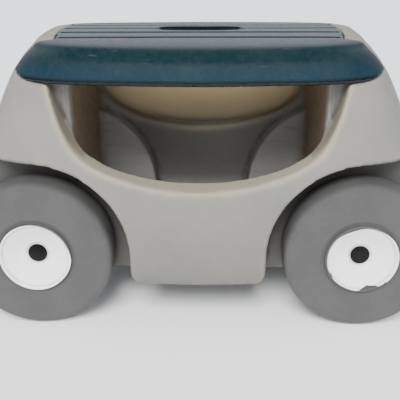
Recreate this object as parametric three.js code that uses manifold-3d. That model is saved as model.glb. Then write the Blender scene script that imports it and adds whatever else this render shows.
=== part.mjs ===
// Rolling garden seat: a moulded tub on four wheels, with a tool bay that is open on the
// tub's right side, under a slatted seat lid that has a carry slot.
// Millimetres, +X along the tub (front), +Y to its left, +Z up, origin on the
// ground under the middle of the tub.

import * as THREE from 'three';
import { mergeVertices } from 'three/addons/utils/BufferGeometryUtils.js';
import Module from 'manifold-3d';

const wasm = await Module();
wasm.setup();

// Overall sizes
const seatHeight = 317.9;
const bodyLength = 492;
const bodyWidth = 285;
const groundClearance = 49;
const wheelbase = 364;

// Wheels
const wheelDiameter = 174;
const wheelWidth = 48;
const hubStandOut = 3.5;
const hubDiameter = 82;
const hubDishDepth = 14.5;
const hubBeadWidth = 3.4;
const hubBeadHeight = 2.6;
const ringGrooveWidth = 5;
const ringGrooveDepth = 4;
const sidewallSetBack = 1.2;
const sidewallBulge = 0.9;
const shoulderRadius = 9.5;
const treadCrown = 0.5;
const backDishDepth = 9;
const backBossDiameter = 34;
const backDishDiameter = 104;

// Axles and what holds the wheels on them
const axleDiameter = 11.1;
const axleEndChamfer = 1;
const boreClearance = 0.45;
const capDiameter = 21.6;
const capRimHeight = 1.8;
const capCrown = 1.6;
const capWall = 1.1;
const capRecessDiameter = 20.4;
const capSkirtGap = 0.6;
const capRecessDepth = 5.4;
const seatGap = 0.3;
const nutThickness = 0.9;
const nutDish = 1.3;
const nutGripGap = 0.45;
const spacerDiameter = 25;
const spacerThickness = 3.4;

// Tub walls, bay and wheel wells
const wallThickness = 31;
const floorHeight = 78;
const bayHalfLength = 143;
const wellClearance = 18;
const housingWall = 12;
const wellLipRadius = 13;
const bellyBulge = 5;
const bellyHalfSpan = 112;

// Side opening on the right, and the thin wall that closes the same shape on the left
const sillHeight = 165.5;
const openingKneeHeight = 213;
const openingKneeHalfLength = 137;
const openingKneeRadius = 11;
const openingTopHalfLength = 168;
const jambThickness = 28;
const jambRounding = 14;
const webThickness = 4;

// Lid: drops are measured down from the top of the seat
const deckDrop = 21.9;
const skirtDrop = 42.9;
const lidStandOut = 3;
const rebateDepth = 8;
const lidGap = 0.4;
const seamGap = 1;
const skirtEdgeRadius = 8;
const slatHalfLength = 160;
const seamBow = 5;
const railHalfWidth = 60;
const grooveSpacing = 28.6;
const grooveCount = 5;
const grooveWidth = 5;
const grooveDepth = 4;
const grooveEndMargin = 4;
const slotLength = 93;
const slotWidth = 25;
const slotEdgeRadius = 6;
const slotEndTaper = 8;
const earTopDrop = 3.9;
const earTipRise = 6.5;
const earTipHalfWidth = 65;
const earTipRadius = 6;
const earRootHalfWidth = 106;

// Lid screws and the ledge at each end of the bay that they go up through
const ledgeDepth = 22;
const ledgeHalfWidth = 60;
const screwFlange = 9;
const screwY = 42;
const screwShankDiameter = 4.2;
const screwHeadDiameter = 9;
const screwHeadHeight = 2.8;
const screwReach = 6.5;
const screwHoleGap = 0.35;

// Modelling values: facets round each kind of shape, a cut's overrun, how far the two
// halves of a cut reach past the middle, welding distance
const skinFacets = 48;
const bayFacets = 28;
const wheelFacets = 28;
const smallFacets = 16;
const curveFacets = 6;
const screwFacets = 10;
const overrun = 40;
const overlap = 0.5;
const weldDistance = 0.0005;

// Worked out from the sizes above
const bodyHalfLength = bodyLength / 2;
const bodyHalfWidth = bodyWidth / 2;
const bodyHeight = seatHeight - groundClearance;
const deckHeight = seatHeight - deckDrop;
const skirtHeight = seatHeight - skirtDrop;
const earTopHeight = seatHeight - earTopDrop;
const earTipHeight = skirtHeight + earTipRise;
const openingInnerPlane = ledgeHalfWidth + jambRounding / 2;
const screwX = bayHalfLength - ledgeDepth / 2;
const wheelRadius = wheelDiameter / 2;
const axleX = wheelbase / 2;
const axleZ = wheelRadius;
const axleRadius = axleDiameter / 2;
const boreRadius = axleRadius + boreClearance;
const hubPlane = bodyHalfWidth + hubStandOut;
const wheelInnerPlane = hubPlane - wheelWidth;
const wellInnerPlane = wheelInnerPlane - spacerThickness - 2 * seatGap;
const housingInnerPlane = wellInnerPlane - housingWall;
const wellRadius = wheelRadius + wellClearance;
const hubFloorPlane = hubPlane - hubDishDepth;
const capHeight = capRimHeight + capCrown;
const axleHalfLength = hubFloorPlane + capRimHeight - capWall;
const farX = bodyHalfLength + overrun;
const farY = bodyHalfWidth + overrun;
const farZ = seatHeight + overrun;

// Outer skin, row by row from the underside to the ridge of the seat.
// Each row: height share of the body, half-length share, half-width share, squareness.
const skinShares = [
  [0.000, 0.902, 0.915, 4.2],
  [0.010, 0.931, 0.955, 4.4],
  [0.032, 0.953, 0.984, 4.5],
  [0.080, 0.970, 0.996, 4.5],
  [0.260, 0.992, 1.000, 4.5],
  [0.440, 1.000, 1.000, 4.5],
  [0.545, 1.000, 0.999, 4.5],
  [0.595, 0.991, 0.992, 4.45],
  [0.645, 0.971, 0.968, 4.35],
  [0.711, 0.941, 0.930, 4.2],
  [0.778, 0.911, 0.886, 4.0],
  [0.841, 0.878, 0.845, 3.8],
  [0.890, 0.842, 0.811, 3.65],
  [0.925, 0.812, 0.780, 3.6],
  [0.946, 0.790, 0.746, 3.65],
  [0.963, 0.770, 0.702, 3.75],
  [0.9775, 0.756, 0.640, 4.2],
  [0.9875, 0.742, 0.520, 4.8],
  [0.9945, 0.724, 0.345, 5.4],
  [1.000, 0.680, 0.110, 5.6],
];

// Tool bay inside the tub, from its floor to the deck: height share between them, share of
// its half-length, share of the skin's largest half-width less the wall, squareness
const bayShares = [
  [0.000, 0.950, 0.890, 7],
  [0.028, 0.980, 0.955, 9],
  [0.090, 0.990, 0.990, 10],
  [0.300, 1.000, 1.000, 10],
  [0.570, 1.000, 1.000, 10],
  [0.760, 1.000, 0.915, 10],
  [0.880, 1.000, 0.850, 10],
  [1.000, 1.000, 0.790, 10],
];

// Side opening: where the sill's curve is steered, the lean of the knee, and the jamb's bow
const sillCurveShares = [0.44, 0.79, 0.39];
const kneeLeanShare = 0.4;
const jambCurveShares = [0.4, 0.28];

// How far up the slope under an ear its curve is steered
const earSlopeShare = 0.6;

// Squareness of the carry slot, from its straight part to its mouth
const slotSquarenesses = [5, 4, 2.4];

// Turn a closed three.js geometry into a solid, welded and with its faces pointing out;
// a side of -1 mirrors it to the rear (X) or to the right (Y)
function solidOf(geometry, sideX = 1, sideY = 1) {
  const bare = geometry.index ? geometry.toNonIndexed() : geometry.clone();
  bare.deleteAttribute('normal');
  bare.deleteAttribute('uv');
  bare.scale(sideX, sideY, 1);
  const welded = mergeVertices(bare, weldDistance);
  const places = welded.getAttribute('position').array;
  const indices = Uint32Array.from(welded.index.array);
  const kept = [];
  let volume = 0;
  for (let i = 0; i < indices.length; i += 3) {
    const [a, b, c] = [indices[i], indices[i + 1], indices[i + 2]];
    if (a === b || b === c || c === a) continue;
    kept.push(a, b, c);
    const [p, q, r] = [a, b, c].map((k) => new THREE.Vector3().fromArray(places, 3 * k));
    volume += p.dot(q.cross(r));
  }
  if (volume < 0) {
    for (let i = 0; i < kept.length; i += 3) [kept[i], kept[i + 1]] = [kept[i + 1], kept[i]];
  }
  return new wasm.Manifold(new wasm.Mesh({
    numProp: 3,
    vertProperties: Float32Array.from(places),
    triVerts: Uint32Array.from(kept),
  }));
}

// Give a solid back as a geometry that a mesh can show
function geometryOf(solid) {
  const mesh = solid.getMesh();
  const geometry = new THREE.BufferGeometry();
  const places = Float32Array.from(mesh.vertProperties);
  geometry.setAttribute('position', new THREE.BufferAttribute(places, 3));
  geometry.setIndex(Array.from(mesh.triVerts));
  geometry.computeVertexNormals();
  return geometry;
}

// Points of a squared-off oval with the given half-sizes; squareness 2 is an ellipse
function squaredOval(halfLength, halfWidth, squareness, facets) {
  return Array.from({ length: facets }, (_, i) => {
    const turn = (2 * Math.PI * i) / facets;
    const [c, s] = [Math.cos(turn), Math.sin(turn)];
    const reach = (Math.abs(c) ** squareness + Math.abs(s) ** squareness) ** (-1 / squareness);
    return new THREE.Vector2(halfLength * c * reach, halfWidth * s * reach);
  });
}

// Closed geometry through a stack of outlines, each { height, outline }
function loft(rows) {
  const facets = rows[0].outline.length;
  const places = [];
  for (const { height, outline } of rows) {
    for (const point of outline) places.push(point.x, point.y, height);
  }
  const indices = [];
  for (let row = 0; row + 1 < rows.length; row += 1) {
    for (let i = 0; i < facets; i += 1) {
      const [a, b] = [row * facets + i, row * facets + ((i + 1) % facets)];
      indices.push(a, b, b + facets, a, b + facets, a + facets);
    }
  }
  const [bottom, top] = [places.length / 3, places.length / 3 + 1];
  places.push(0, 0, rows[0].height, 0, 0, rows.at(-1).height);
  const last = (rows.length - 1) * facets;
  for (let i = 0; i < facets; i += 1) {
    const next = (i + 1) % facets;
    indices.push(next, i, bottom, last + i, last + next, top);
  }
  const geometry = new THREE.BufferGeometry();
  geometry.setAttribute('position', new THREE.BufferAttribute(Float32Array.from(places), 3));
  geometry.setIndex(indices);
  return geometry;
}

// Prism of an outline drawn in X and Z, from one Y to another
function prismAlongY(shape, fromY, toY) {
  const geometry = new THREE.ExtrudeGeometry(shape, {
    depth: toY - fromY, bevelEnabled: false, curveSegments: curveFacets,
  });
  geometry.rotateX(Math.PI / 2);
  geometry.translate(0, toY, 0);
  return geometry;
}

// Prism of an outline drawn in Y and Z, from one X to another
function prismAlongX(shape, fromX, toX) {
  const geometry = new THREE.ExtrudeGeometry(shape, {
    depth: toX - fromX, bevelEnabled: false, curveSegments: curveFacets,
  });
  geometry.applyMatrix4(new THREE.Matrix4().set(0, 0, 1, fromX, 1, 0, 0, 0, 0, 1, 0, 0, 0, 0, 0, 1));
  return geometry;
}

// Prism of an outline drawn in X and Y, from one Z to another
function prismAlongZ(shape, fromZ, toZ) {
  const geometry = new THREE.ExtrudeGeometry(shape, {
    depth: toZ - fromZ, bevelEnabled: false, curveSegments: curveFacets,
  });
  geometry.translate(0, 0, fromZ);
  return geometry;
}

// Everything between two heights, past the tub on every side
function slab(fromZ, toZ) {
  const geometry = new THREE.BoxGeometry(2 * farX, 2 * farY, toZ - fromZ);
  geometry.translate(0, 0, (fromZ + toZ) / 2);
  return geometry;
}

// Corner radius of a many-sided shape whose flats touch a circle
function cornerRadius(radius, facets) {
  return radius / Math.cos(Math.PI / facets);
}

// Round bar along Y
function barAlongY(radius, x, z, fromY, toY) {
  const corner = cornerRadius(radius, smallFacets);
  const geometry = new THREE.CylinderGeometry(corner, corner, toY - fromY, smallFacets);
  geometry.translate(x, (fromY + toY) / 2, z);
  return geometry;
}

// Round bar along Z
function barAlongZ(radius, x, y, fromZ, toZ) {
  const corner = cornerRadius(radius, screwFacets);
  const geometry = new THREE.CylinderGeometry(corner, corner, toZ - fromZ, screwFacets);
  geometry.rotateX(Math.PI / 2);
  geometry.translate(x, y, (fromZ + toZ) / 2);
  return geometry;
}

// Solid of revolution from [radius, distance along the axis] pairs, its axis on Y and a
// flat, not a corner, at its lowest
function revolve(profile, facets) {
  const closed = [...profile, profile[0]].map(([radius, along]) => (
    new THREE.Vector2(cornerRadius(radius, facets), along)
  ));
  return geometryOf(solidOf(new THREE.LatheGeometry(closed, facets, Math.PI / facets)));
}

// Points of a circular arc as pairs, angles in degrees
function arcPairs(centre, radius, fromDegrees, toDegrees, steps) {
  return Array.from({ length: steps + 1 }, (_, i) => {
    const turn = THREE.MathUtils.degToRad(fromDegrees + ((toDegrees - fromDegrees) * i) / steps);
    return [centre[0] + radius * Math.cos(turn), centre[1] + radius * Math.sin(turn)];
  });
}

// Outward swell of the long walls, greatest midway along the tub
function belly(x) {
  if (Math.abs(x) >= bellyHalfSpan) return 0;
  return bellyBulge * Math.cos((Math.PI * x) / (2 * bellyHalfSpan)) ** 2;
}

// The skin's shares at a height, read between its rows
function skinRowAt(height) {
  const share = (height - groundClearance) / bodyHeight;
  const above = Math.max(1, skinShares.findIndex(([rowShare]) => rowShare >= share));
  const [low, high] = [skinShares[above - 1], skinShares[above]];
  const along = (share - low[0]) / (high[0] - low[0]);
  return low.map((value, i) => value + (high[i] - value) * along);
}

// The skin's outline at a height, standing out by a given amount
function skinOutline(height, standOut) {
  const [, lengthShare, widthShare, squareness] = skinRowAt(height);
  const halfLength = bodyHalfLength * lengthShare + standOut;
  const halfWidth = bodyHalfWidth * widthShare + standOut;
  const outline = squaredOval(halfLength, halfWidth, squareness, skinFacets);
  for (const point of outline) {
    point.y += (belly(point.x) * widthShare * point.y) / halfWidth;
  }
  return outline;
}

// Heights of the skin's rows above a given one
function skinHeightsAbove(height) {
  return skinShares
    .map(([share]) => groundClearance + bodyHeight * share)
    .filter((row) => row > height);
}

// Outer skin from the underside to the seat's ridge
function tubSkin() {
  const heights = [groundClearance, ...skinHeightsAbove(groundClearance)];
  return loft(heights.map((height) => ({ height, outline: skinOutline(height, 0) })));
}

// Outside of the lid: the skin standing out a little, with its lower edge rolled under
function lidSkin() {
  const rollTop = skirtHeight + skirtEdgeRadius;
  const roll = arcPairs([lidStandOut - skirtEdgeRadius, rollTop], skirtEdgeRadius, -80, 0, 3);
  const rows = roll.map(([standOut, height]) => (
    { height, outline: skinOutline(height, standOut) }
  ));
  for (const height of skinHeightsAbove(rollTop)) {
    rows.push({ height, outline: skinOutline(height, lidStandOut) });
  }
  return loft(rows);
}

// Core of the tub that the lid fits over, from below its skirt up to a height
function rebateCore(grown, top) {
  const low = skirtHeight - skirtEdgeRadius;
  const heights = [low, (low + top) / 2, top];
  return loft(heights.map((height) => (
    { height, outline: skinOutline(height, grown - rebateDepth) }
  )));
}

// Height of the crowned seat at a distance from its middle line
function seatHeightAt(y) {
  const reach = Math.abs(y) / bodyHalfWidth;
  const below = skinShares.findLastIndex(([share, , widthShare]) => (
    share > skinShares[0][0] && widthShare >= reach
  ));
  const [low, high] = [skinShares[below], skinShares[below + 1]];
  if (!high) return seatHeight;
  const along = (low[2] - reach) / (low[2] - high[2]);
  return groundClearance + bodyHeight * (low[0] + (high[0] - low[0]) * along);
}

// Where the slats end at a distance from the middle line: a shallow bow outwards
function slatEndAt(y) {
  return slatHalfLength + seamBow * (1 - (y / railHalfWidth) ** 2);
}

// What the tub keeps of its ends above the lid's skirt, and the lid stops short of
// by a gap: the end rail between the ears, and a long slope below the ears' tips.
// side is 1 at the front and -1 at the rear.
function railZone(side, gap) {
  const halfWidth = railHalfWidth + gap;
  const tipHalfWidth = earTipHalfWidth + gap;
  const rootHalfWidth = earRootHalfWidth + gap;
  const rootHeight = skirtHeight - seamGap + gap;
  const tipHeight = earTipHeight + gap;
  const foot = rootHeight - overrun;
  const plan = new THREE.Shape();
  for (let i = 0; i <= curveFacets; i += 1) {
    const share = -1 + (2 * i) / curveFacets;
    const [x, y] = [slatEndAt(share * railHalfWidth) - gap, share * halfWidth];
    if (i === 0) plan.moveTo(x, y);
    else plan.lineTo(x, y);
  }
  plan.lineTo(farX, halfWidth);
  plan.lineTo(farX, -halfWidth);
  plan.closePath();

  const slopeHalfWidth = (rootHalfWidth + tipHalfWidth) / 2;
  const slopeHeight = rootHeight + (tipHeight - rootHeight) * earSlopeShare;
  const flare = new THREE.Shape();
  flare.moveTo(rootHalfWidth, foot);
  flare.lineTo(rootHalfWidth, rootHeight);
  flare.quadraticCurveTo(slopeHalfWidth, slopeHeight, tipHalfWidth + earTipRadius, tipHeight);
  flare.quadraticCurveTo(tipHalfWidth, tipHeight, tipHalfWidth, tipHeight + earTipRadius);
  flare.lineTo(halfWidth, earTopHeight);
  flare.lineTo(-halfWidth, earTopHeight);
  flare.lineTo(-tipHalfWidth, tipHeight + earTipRadius);
  flare.quadraticCurveTo(-tipHalfWidth, tipHeight, -tipHalfWidth - earTipRadius, tipHeight);
  flare.quadraticCurveTo(-slopeHalfWidth, slopeHeight, -rootHalfWidth, rootHeight);
  flare.lineTo(-rootHalfWidth, foot);
  flare.closePath();

  const rail = solidOf(prismAlongZ(plan, foot, farZ), side);
  return rail.add(solidOf(prismAlongX(flare, slatHalfLength + seamBow - gap, farX), side));
}

// Wheel arch in side view about the front axle: a round roof that runs out flat
// to the end, and a straight inner side that flares at the bottom
function archShape(radius, lip) {
  const innerX = axleX - radius;
  const floor = groundClearance - overrun;
  const shape = new THREE.Shape();
  shape.moveTo(innerX - lip, floor);
  shape.lineTo(innerX - lip, groundClearance);
  shape.quadraticCurveTo(innerX, groundClearance, innerX, groundClearance + 2 * lip);
  shape.lineTo(innerX, axleZ);
  shape.absarc(axleX, axleZ, radius, Math.PI, Math.PI / 2, true);
  shape.lineTo(farX, axleZ + radius);
  shape.lineTo(farX, floor);
  shape.closePath();
  return shape;
}

// Half of the side opening: a smile-shaped sill rising to a knee, then a steep jamb
function openingShape() {
  const rise = openingKneeHeight - sillHeight;
  const jambRise = deckHeight - openingKneeHeight;
  const [kneeX, kneeZ] = [openingKneeHalfLength, openingKneeHeight];
  const shape = new THREE.Shape();
  shape.moveTo(-overlap, sillHeight);
  shape.lineTo(0, sillHeight);
  shape.bezierCurveTo(
    kneeX * sillCurveShares[0], sillHeight,
    kneeX * sillCurveShares[1], sillHeight + rise * sillCurveShares[2],
    kneeX - openingKneeRadius, kneeZ - openingKneeRadius,
  );
  shape.quadraticCurveTo(
    kneeX, kneeZ,
    kneeX + openingKneeRadius * kneeLeanShare, kneeZ + openingKneeRadius,
  );
  shape.quadraticCurveTo(
    kneeX + (openingTopHalfLength - kneeX) * jambCurveShares[0], kneeZ + jambRise * jambCurveShares[1],
    openingTopHalfLength, deckHeight,
  );
  shape.lineTo(openingTopHalfLength, deckHeight + overrun);
  shape.lineTo(-overlap, deckHeight + overrun);
  shape.closePath();
  return shape;
}

// Quarter of the way out of the bay in plan, from beside the ledges: as long as the bay
// inside, wider in the wall's outer layer, and rounded between the two
function splayShape() {
  const layer = bodyHalfWidth * skinRowAt(skirtHeight)[2] - jambThickness;
  const shape = new THREE.Shape();
  shape.moveTo(-overlap, openingInnerPlane);
  shape.lineTo(bayHalfLength, openingInnerPlane);
  shape.lineTo(bayHalfLength, layer - jambRounding);
  shape.quadraticCurveTo(bayHalfLength, layer, bayHalfLength + jambRounding, layer);
  shape.lineTo(farX, layer);
  shape.lineTo(farX, farY);
  shape.lineTo(-overlap, farY);
  shape.closePath();
  return shape;
}

// The four places of whatever repeats at each corner: name, side along X, side along Y
const corners = [
  ['front_right', 1, -1],
  ['front_left', 1, 1],
  ['rear_right', -1, -1],
  ['rear_left', -1, 1],
];

// Cut a geometry drawn for the front left corner out of a solid at every corner, or at
// those that are given
function cutAtCorners(solid, geometry, places = corners) {
  return places.reduce((rest, [, sideX, sideY]) => (
    rest.subtract(solidOf(geometry, sideX, sideY))
  ), solid);
}

// Ledge across the front end of the bay, just under the deck
function screwLedge() {
  const fromX = bayHalfLength - ledgeDepth;
  const fromZ = deckHeight - screwFlange;
  const geometry = new THREE.BoxGeometry(farX - fromX, 2 * ledgeHalfWidth, farZ - fromZ);
  geometry.translate((farX + fromX) / 2, 0, (farZ + fromZ) / 2);
  return geometry;
}

// Everything that lies deeper in the tub than the thin wall on its left side, which
// steps in under the lid's skirt
function webCore() {
  const step = skirtHeight - seamGap - webThickness;
  const between = skinHeightsAbove(floorHeight).filter((height) => height < step);
  const below = loft([floorHeight, ...between, step].map((height) => (
    { height, outline: skinOutline(height, -webThickness) }
  )));
  return solidOf(below).add(solidOf(rebateCore(-webThickness, deckHeight + seamGap)));
}

// Tool bay: the tub's hollow between its end blocks, less the wheel housings and ledges
function toolBay() {
  const bayHeight = deckHeight - floorHeight;
  const hollow = loft(bayShares.map(([heightShare, lengthShare, widthShare, squareness]) => ({
    height: floorHeight + bayHeight * heightShare,
    outline: squaredOval(
      bayHalfLength * lengthShare,
      (bodyHalfWidth - wallThickness) * widthShare,
      squareness,
      bayFacets,
    ),
  })));
  const housing = prismAlongY(archShape(wellRadius + housingWall, 0), housingInnerPlane, farY);
  return cutAtCorners(solidOf(hollow), housing)
    .subtract(solidOf(screwLedge()))
    .subtract(solidOf(screwLedge(), -1));
}

// Tub: the moulded body with its bay, side opening, wheel wells and end rails
function tubBody() {
  const lidSpace = solidOf(slab(skirtHeight - seamGap, farZ))
    .subtract(railZone(1, 0))
    .subtract(railZone(-1, 0))
    .subtract(solidOf(rebateCore(0, deckHeight)));
  let tub = solidOf(tubSkin()).subtract(lidSpace).subtract(toolBay());

  const well = prismAlongY(archShape(wellRadius, wellLipRadius), wellInnerPlane, farY);
  const screwHole = barAlongZ(
    screwShankDiameter / 2 + screwHoleGap, screwX, screwY, floorHeight, farZ,
  );
  for (const cut of [well, screwHole]) tub = cutAtCorners(tub, cut);

  const throughWall = solidOf(prismAlongY(openingShape(), openingInnerPlane, farY));
  const opening = throughWall.intersect(solidOf(prismAlongZ(splayShape(), floorHeight, farZ)));
  const recess = opening.intersect(webCore());
  tub = cutAtCorners(tub, geometryOf(opening), corners.filter(([, , sideY]) => sideY < 0));
  tub = cutAtCorners(tub, geometryOf(recess), corners.filter(([, , sideY]) => sideY > 0));
  const axleBore = barAlongY(boreRadius, axleX, axleZ, -farY, farY);
  return geometryOf(tub.subtract(solidOf(axleBore)).subtract(solidOf(axleBore, -1)));
}

// Carry slot: straight below, its top edge rounded over and drawn out to points
function carrySlot() {
  const [halfLength, halfWidth] = [slotLength / 2, slotWidth / 2];
  const [straight, eased, mouth] = [0, slotEdgeRadius / 3, slotEdgeRadius].map((grown, i) => (
    squaredOval(
      halfLength + (grown * slotEndTaper) / slotEdgeRadius,
      halfWidth + grown,
      slotSquarenesses[i],
      bayFacets,
    )
  ));
  return loft([
    { height: skirtHeight, outline: straight },
    { height: seatHeight - slotEdgeRadius, outline: straight },
    { height: seatHeight - slotEdgeRadius / 3, outline: eased },
    { height: seatHeight, outline: mouth },
    { height: farZ, outline: mouth },
  ]);
}

// One groove between two slats, sunk to an even depth below the crowned seat
function seatGroove(y) {
  const radius = grooveWidth / 2;
  const halfLength = slatEndAt(y) - grooveEndMargin - radius;
  const shape = new THREE.Shape();
  shape.absarc(halfLength, y, radius, -Math.PI / 2, Math.PI / 2, false);
  shape.absarc(-halfLength, y, radius, Math.PI / 2, (3 * Math.PI) / 2, false);
  shape.closePath();
  return prismAlongZ(shape, seatHeightAt(y) - grooveDepth, farZ);
}

// Seat lid: slatted between the end rails, with an ear round each corner of the tub
function seatLid() {
  let lid = solidOf(lidSkin())
    .subtract(solidOf(rebateCore(lidGap, deckHeight + seatGap)))
    .subtract(railZone(1, seamGap))
    .subtract(railZone(-1, seamGap))
    .subtract(solidOf(carrySlot()));
  for (let i = 0; i < grooveCount; i += 1) {
    lid = lid.subtract(solidOf(seatGroove((i - (grooveCount - 1) / 2) * grooveSpacing)));
  }
  const screwHole = barAlongZ(
    screwShankDiameter / 2 + screwHoleGap, screwX, screwY,
    skirtHeight, deckHeight + screwReach + screwHoleGap,
  );
  return geometryOf(cutAtCorners(lid, screwHole));
}

// One-piece moulded wheel with its axis on Y and its outer side towards +Y
function wheel() {
  const dishFloor = wheelWidth - hubDishDepth;
  const recess = capRecessDiameter / 2;
  const beadOuter = hubDiameter / 2;
  const sidewall = wheelWidth - sidewallSetBack;
  const grooveFloor = wheelWidth - ringGrooveDepth;
  const shoulder = wheelRadius - shoulderRadius;
  const outerCentre = [shoulder, sidewall - shoulderRadius];
  const innerCentre = [shoulder, sidewallSetBack + shoulderRadius];
  const outerShoulder = arcPairs(outerCentre, shoulderRadius, 80, 0, 3);
  const innerShoulder = arcPairs(innerCentre, shoulderRadius, 0, -80, 1);
  return revolve([
    [boreRadius, dishFloor - capRecessDepth],
    [recess, dishFloor - capRecessDepth],
    [recess, dishFloor],
    [capDiameter / 2 + seatGap, dishFloor],
    [beadOuter - hubBeadWidth, wheelWidth - hubBeadHeight],
    [beadOuter - hubBeadWidth / 2, wheelWidth],
    [beadOuter, wheelWidth - hubBeadHeight / 2],
    [beadOuter, grooveFloor],
    [beadOuter + ringGrooveWidth / 3, grooveFloor],
    [beadOuter + ringGrooveWidth, sidewall],
    [(beadOuter + shoulder) / 2, sidewall + sidewallBulge],
    ...outerShoulder.map(([r, y]) => [r - treadCrown, y]),
    [wheelRadius, wheelWidth / 2],
    ...innerShoulder.map(([r, y]) => [r - treadCrown, y]),
    [backDishDiameter / 2, sidewallSetBack],
    [backDishDiameter / 2 - backDishDepth / 2, backDishDepth],
    [backBossDiameter / 2, backDishDepth],
    [backBossDiameter / 2, 0],
    [boreRadius, 0],
  ], wheelFacets);
}

// Plain steel axle with chamfered ends, centred on its own middle
function axle() {
  const half = axleHalfLength;
  return revolve([
    [0, -half],
    [axleRadius - axleEndChamfer, -half],
    [axleRadius, -half + axleEndChamfer],
    [axleRadius, half - axleEndChamfer],
    [axleRadius - axleEndChamfer, half],
    [0, half],
  ], smallFacets);
}

// Domed cap over the axle's end: its rim lies on the hub, its skirt goes into the hub's
// recess. Its own origin is at the hub's floor.
function axleCap() {
  const radius = capDiameter / 2;
  const skirt = capRecessDiameter / 2 - capSkirtGap;
  const inside = capRimHeight - capWall;
  return revolve([
    [skirt - capWall, seatGap - capRecessDepth],
    [skirt, seatGap - capRecessDepth],
    [skirt, seatGap],
    [radius, seatGap],
    [radius, capRimHeight - capWall / 2],
    [radius - capWall / 2, capRimHeight],
    [radius / 2, capHeight - capCrown / 4],
    [0, capHeight],
    [0, capHeight - capWall],
    [skirt - capWall, inside],
  ], smallFacets);
}

// Dished spring washer pushed on the axle inside the cap, gripping it; its outer edge
// bears on the floor of the hub's recess
function pushNut() {
  const outer = capRecessDiameter / 2 - capWall - 2 * capSkirtGap;
  const inner = axleRadius + nutGripGap;
  return revolve([
    [inner, nutDish],
    [outer, 0],
    [outer, nutThickness],
    [inner, nutDish + nutThickness],
  ], smallFacets);
}

// Nylon spacer between the wheel's back boss and the wall of its well
function wheelSpacer() {
  const bevel = spacerThickness / 5;
  return revolve([
    [boreRadius, 0],
    [spacerDiameter / 2, 0],
    [spacerDiameter / 2, spacerThickness - bevel],
    [spacerDiameter / 2 - bevel, spacerThickness],
    [boreRadius, spacerThickness],
  ], smallFacets);
}

// Pan-head screw along +Y of its own frame, the face that its head bears on at the origin
function lidScrew() {
  const [shank, head] = [screwShankDiameter / 2, screwHeadDiameter / 2];
  const length = screwFlange + screwReach;
  return revolve([
    [0, -screwHeadHeight],
    [(shank + head) / 2, -screwHeadHeight],
    [head, -screwHeadHeight / 2],
    [head, -seatGap],
    [shank, -seatGap],
    [shank, length - screwShankDiameter],
    [0, length],
  ], screwFacets);
}

// Finishes
const tanPlastic = new THREE.MeshStandardMaterial({ color: 0xb8b5ae, roughness: 0.55, metalness: 0 });
const greenPlastic = new THREE.MeshStandardMaterial({ color: 0x2f4a52, roughness: 0.38, metalness: 0 });
const wheelPlastic = new THREE.MeshStandardMaterial({ color: 0x86868a, roughness: 0.6, metalness: 0 });
const axleSteel = new THREE.MeshStandardMaterial({ color: 0x9a9c9e, roughness: 0.35, metalness: 1 });
const capBlack = new THREE.MeshStandardMaterial({ color: 0x303032, roughness: 0.5, metalness: 0 });
const springSteel = new THREE.MeshStandardMaterial({ color: 0x6c6e70, roughness: 0.4, metalness: 1 });
const spacerNylon = new THREE.MeshStandardMaterial({ color: 0xdedcd4, roughness: 0.5, metalness: 0 });
const screwZinc = new THREE.MeshStandardMaterial({ color: 0xb9bcc0, roughness: 0.35, metalness: 1 });

// A named sub-part at a place of its own
function piece(name, geometry, material, x = 0, y = 0, z = 0) {
  const mesh = new THREE.Mesh(geometry, material);
  mesh.name = name;
  mesh.position.set(x, y, z);
  return mesh;
}

// Turn a piece end for end, so that what points to +Y points to -Y
function facing(mesh, sideY) {
  if (sideY < 0) mesh.rotation.z = Math.PI;
  return mesh;
}

const seat = new THREE.Group();
seat.add(piece('tub_body', tubBody(), tanPlastic));
seat.add(piece('seat_lid', seatLid(), greenPlastic));

for (const [name, side] of [['front', 1], ['rear', -1]]) {
  seat.add(piece(`axle_${name}`, axle(), axleSteel, side * axleX, 0, axleZ));
}

for (const [name, sideX, sideY] of corners) {
  const onAxle = (part, geometry, material, fromMiddle) => {
    const [x, y] = [sideX * axleX, sideY * fromMiddle];
    seat.add(facing(piece(`${part}_${name}`, geometry, material, x, y, axleZ), sideY));
  };
  onAxle('wheel', wheel(), wheelPlastic, wheelInnerPlane);
  onAxle('wheel_spacer', wheelSpacer(), spacerNylon, wellInnerPlane + seatGap);
  onAxle('push_nut', pushNut(), springSteel, hubFloorPlane - capRecessDepth + seatGap);
  onAxle('axle_cap', axleCap(), capBlack, hubFloorPlane);

  const screw = piece(
    `lid_screw_${name}`, lidScrew(), screwZinc,
    sideX * screwX, sideY * screwY, deckHeight - screwFlange,
  );
  screw.rotation.x = Math.PI / 2;
  seat.add(screw);
}

export default seat;
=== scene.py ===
"""Looks of the rolling garden seat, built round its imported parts.

Metres, +X to the front end, +Y to the left side, +Z up, origin on the ground under the middle
of the tub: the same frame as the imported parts.
"""

import logging
import math
from collections.abc import Callable, Sequence
from dataclasses import dataclass
from enum import Enum

import bmesh
import bpy
import numpy as np
from mathutils import Matrix, Vector


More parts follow.
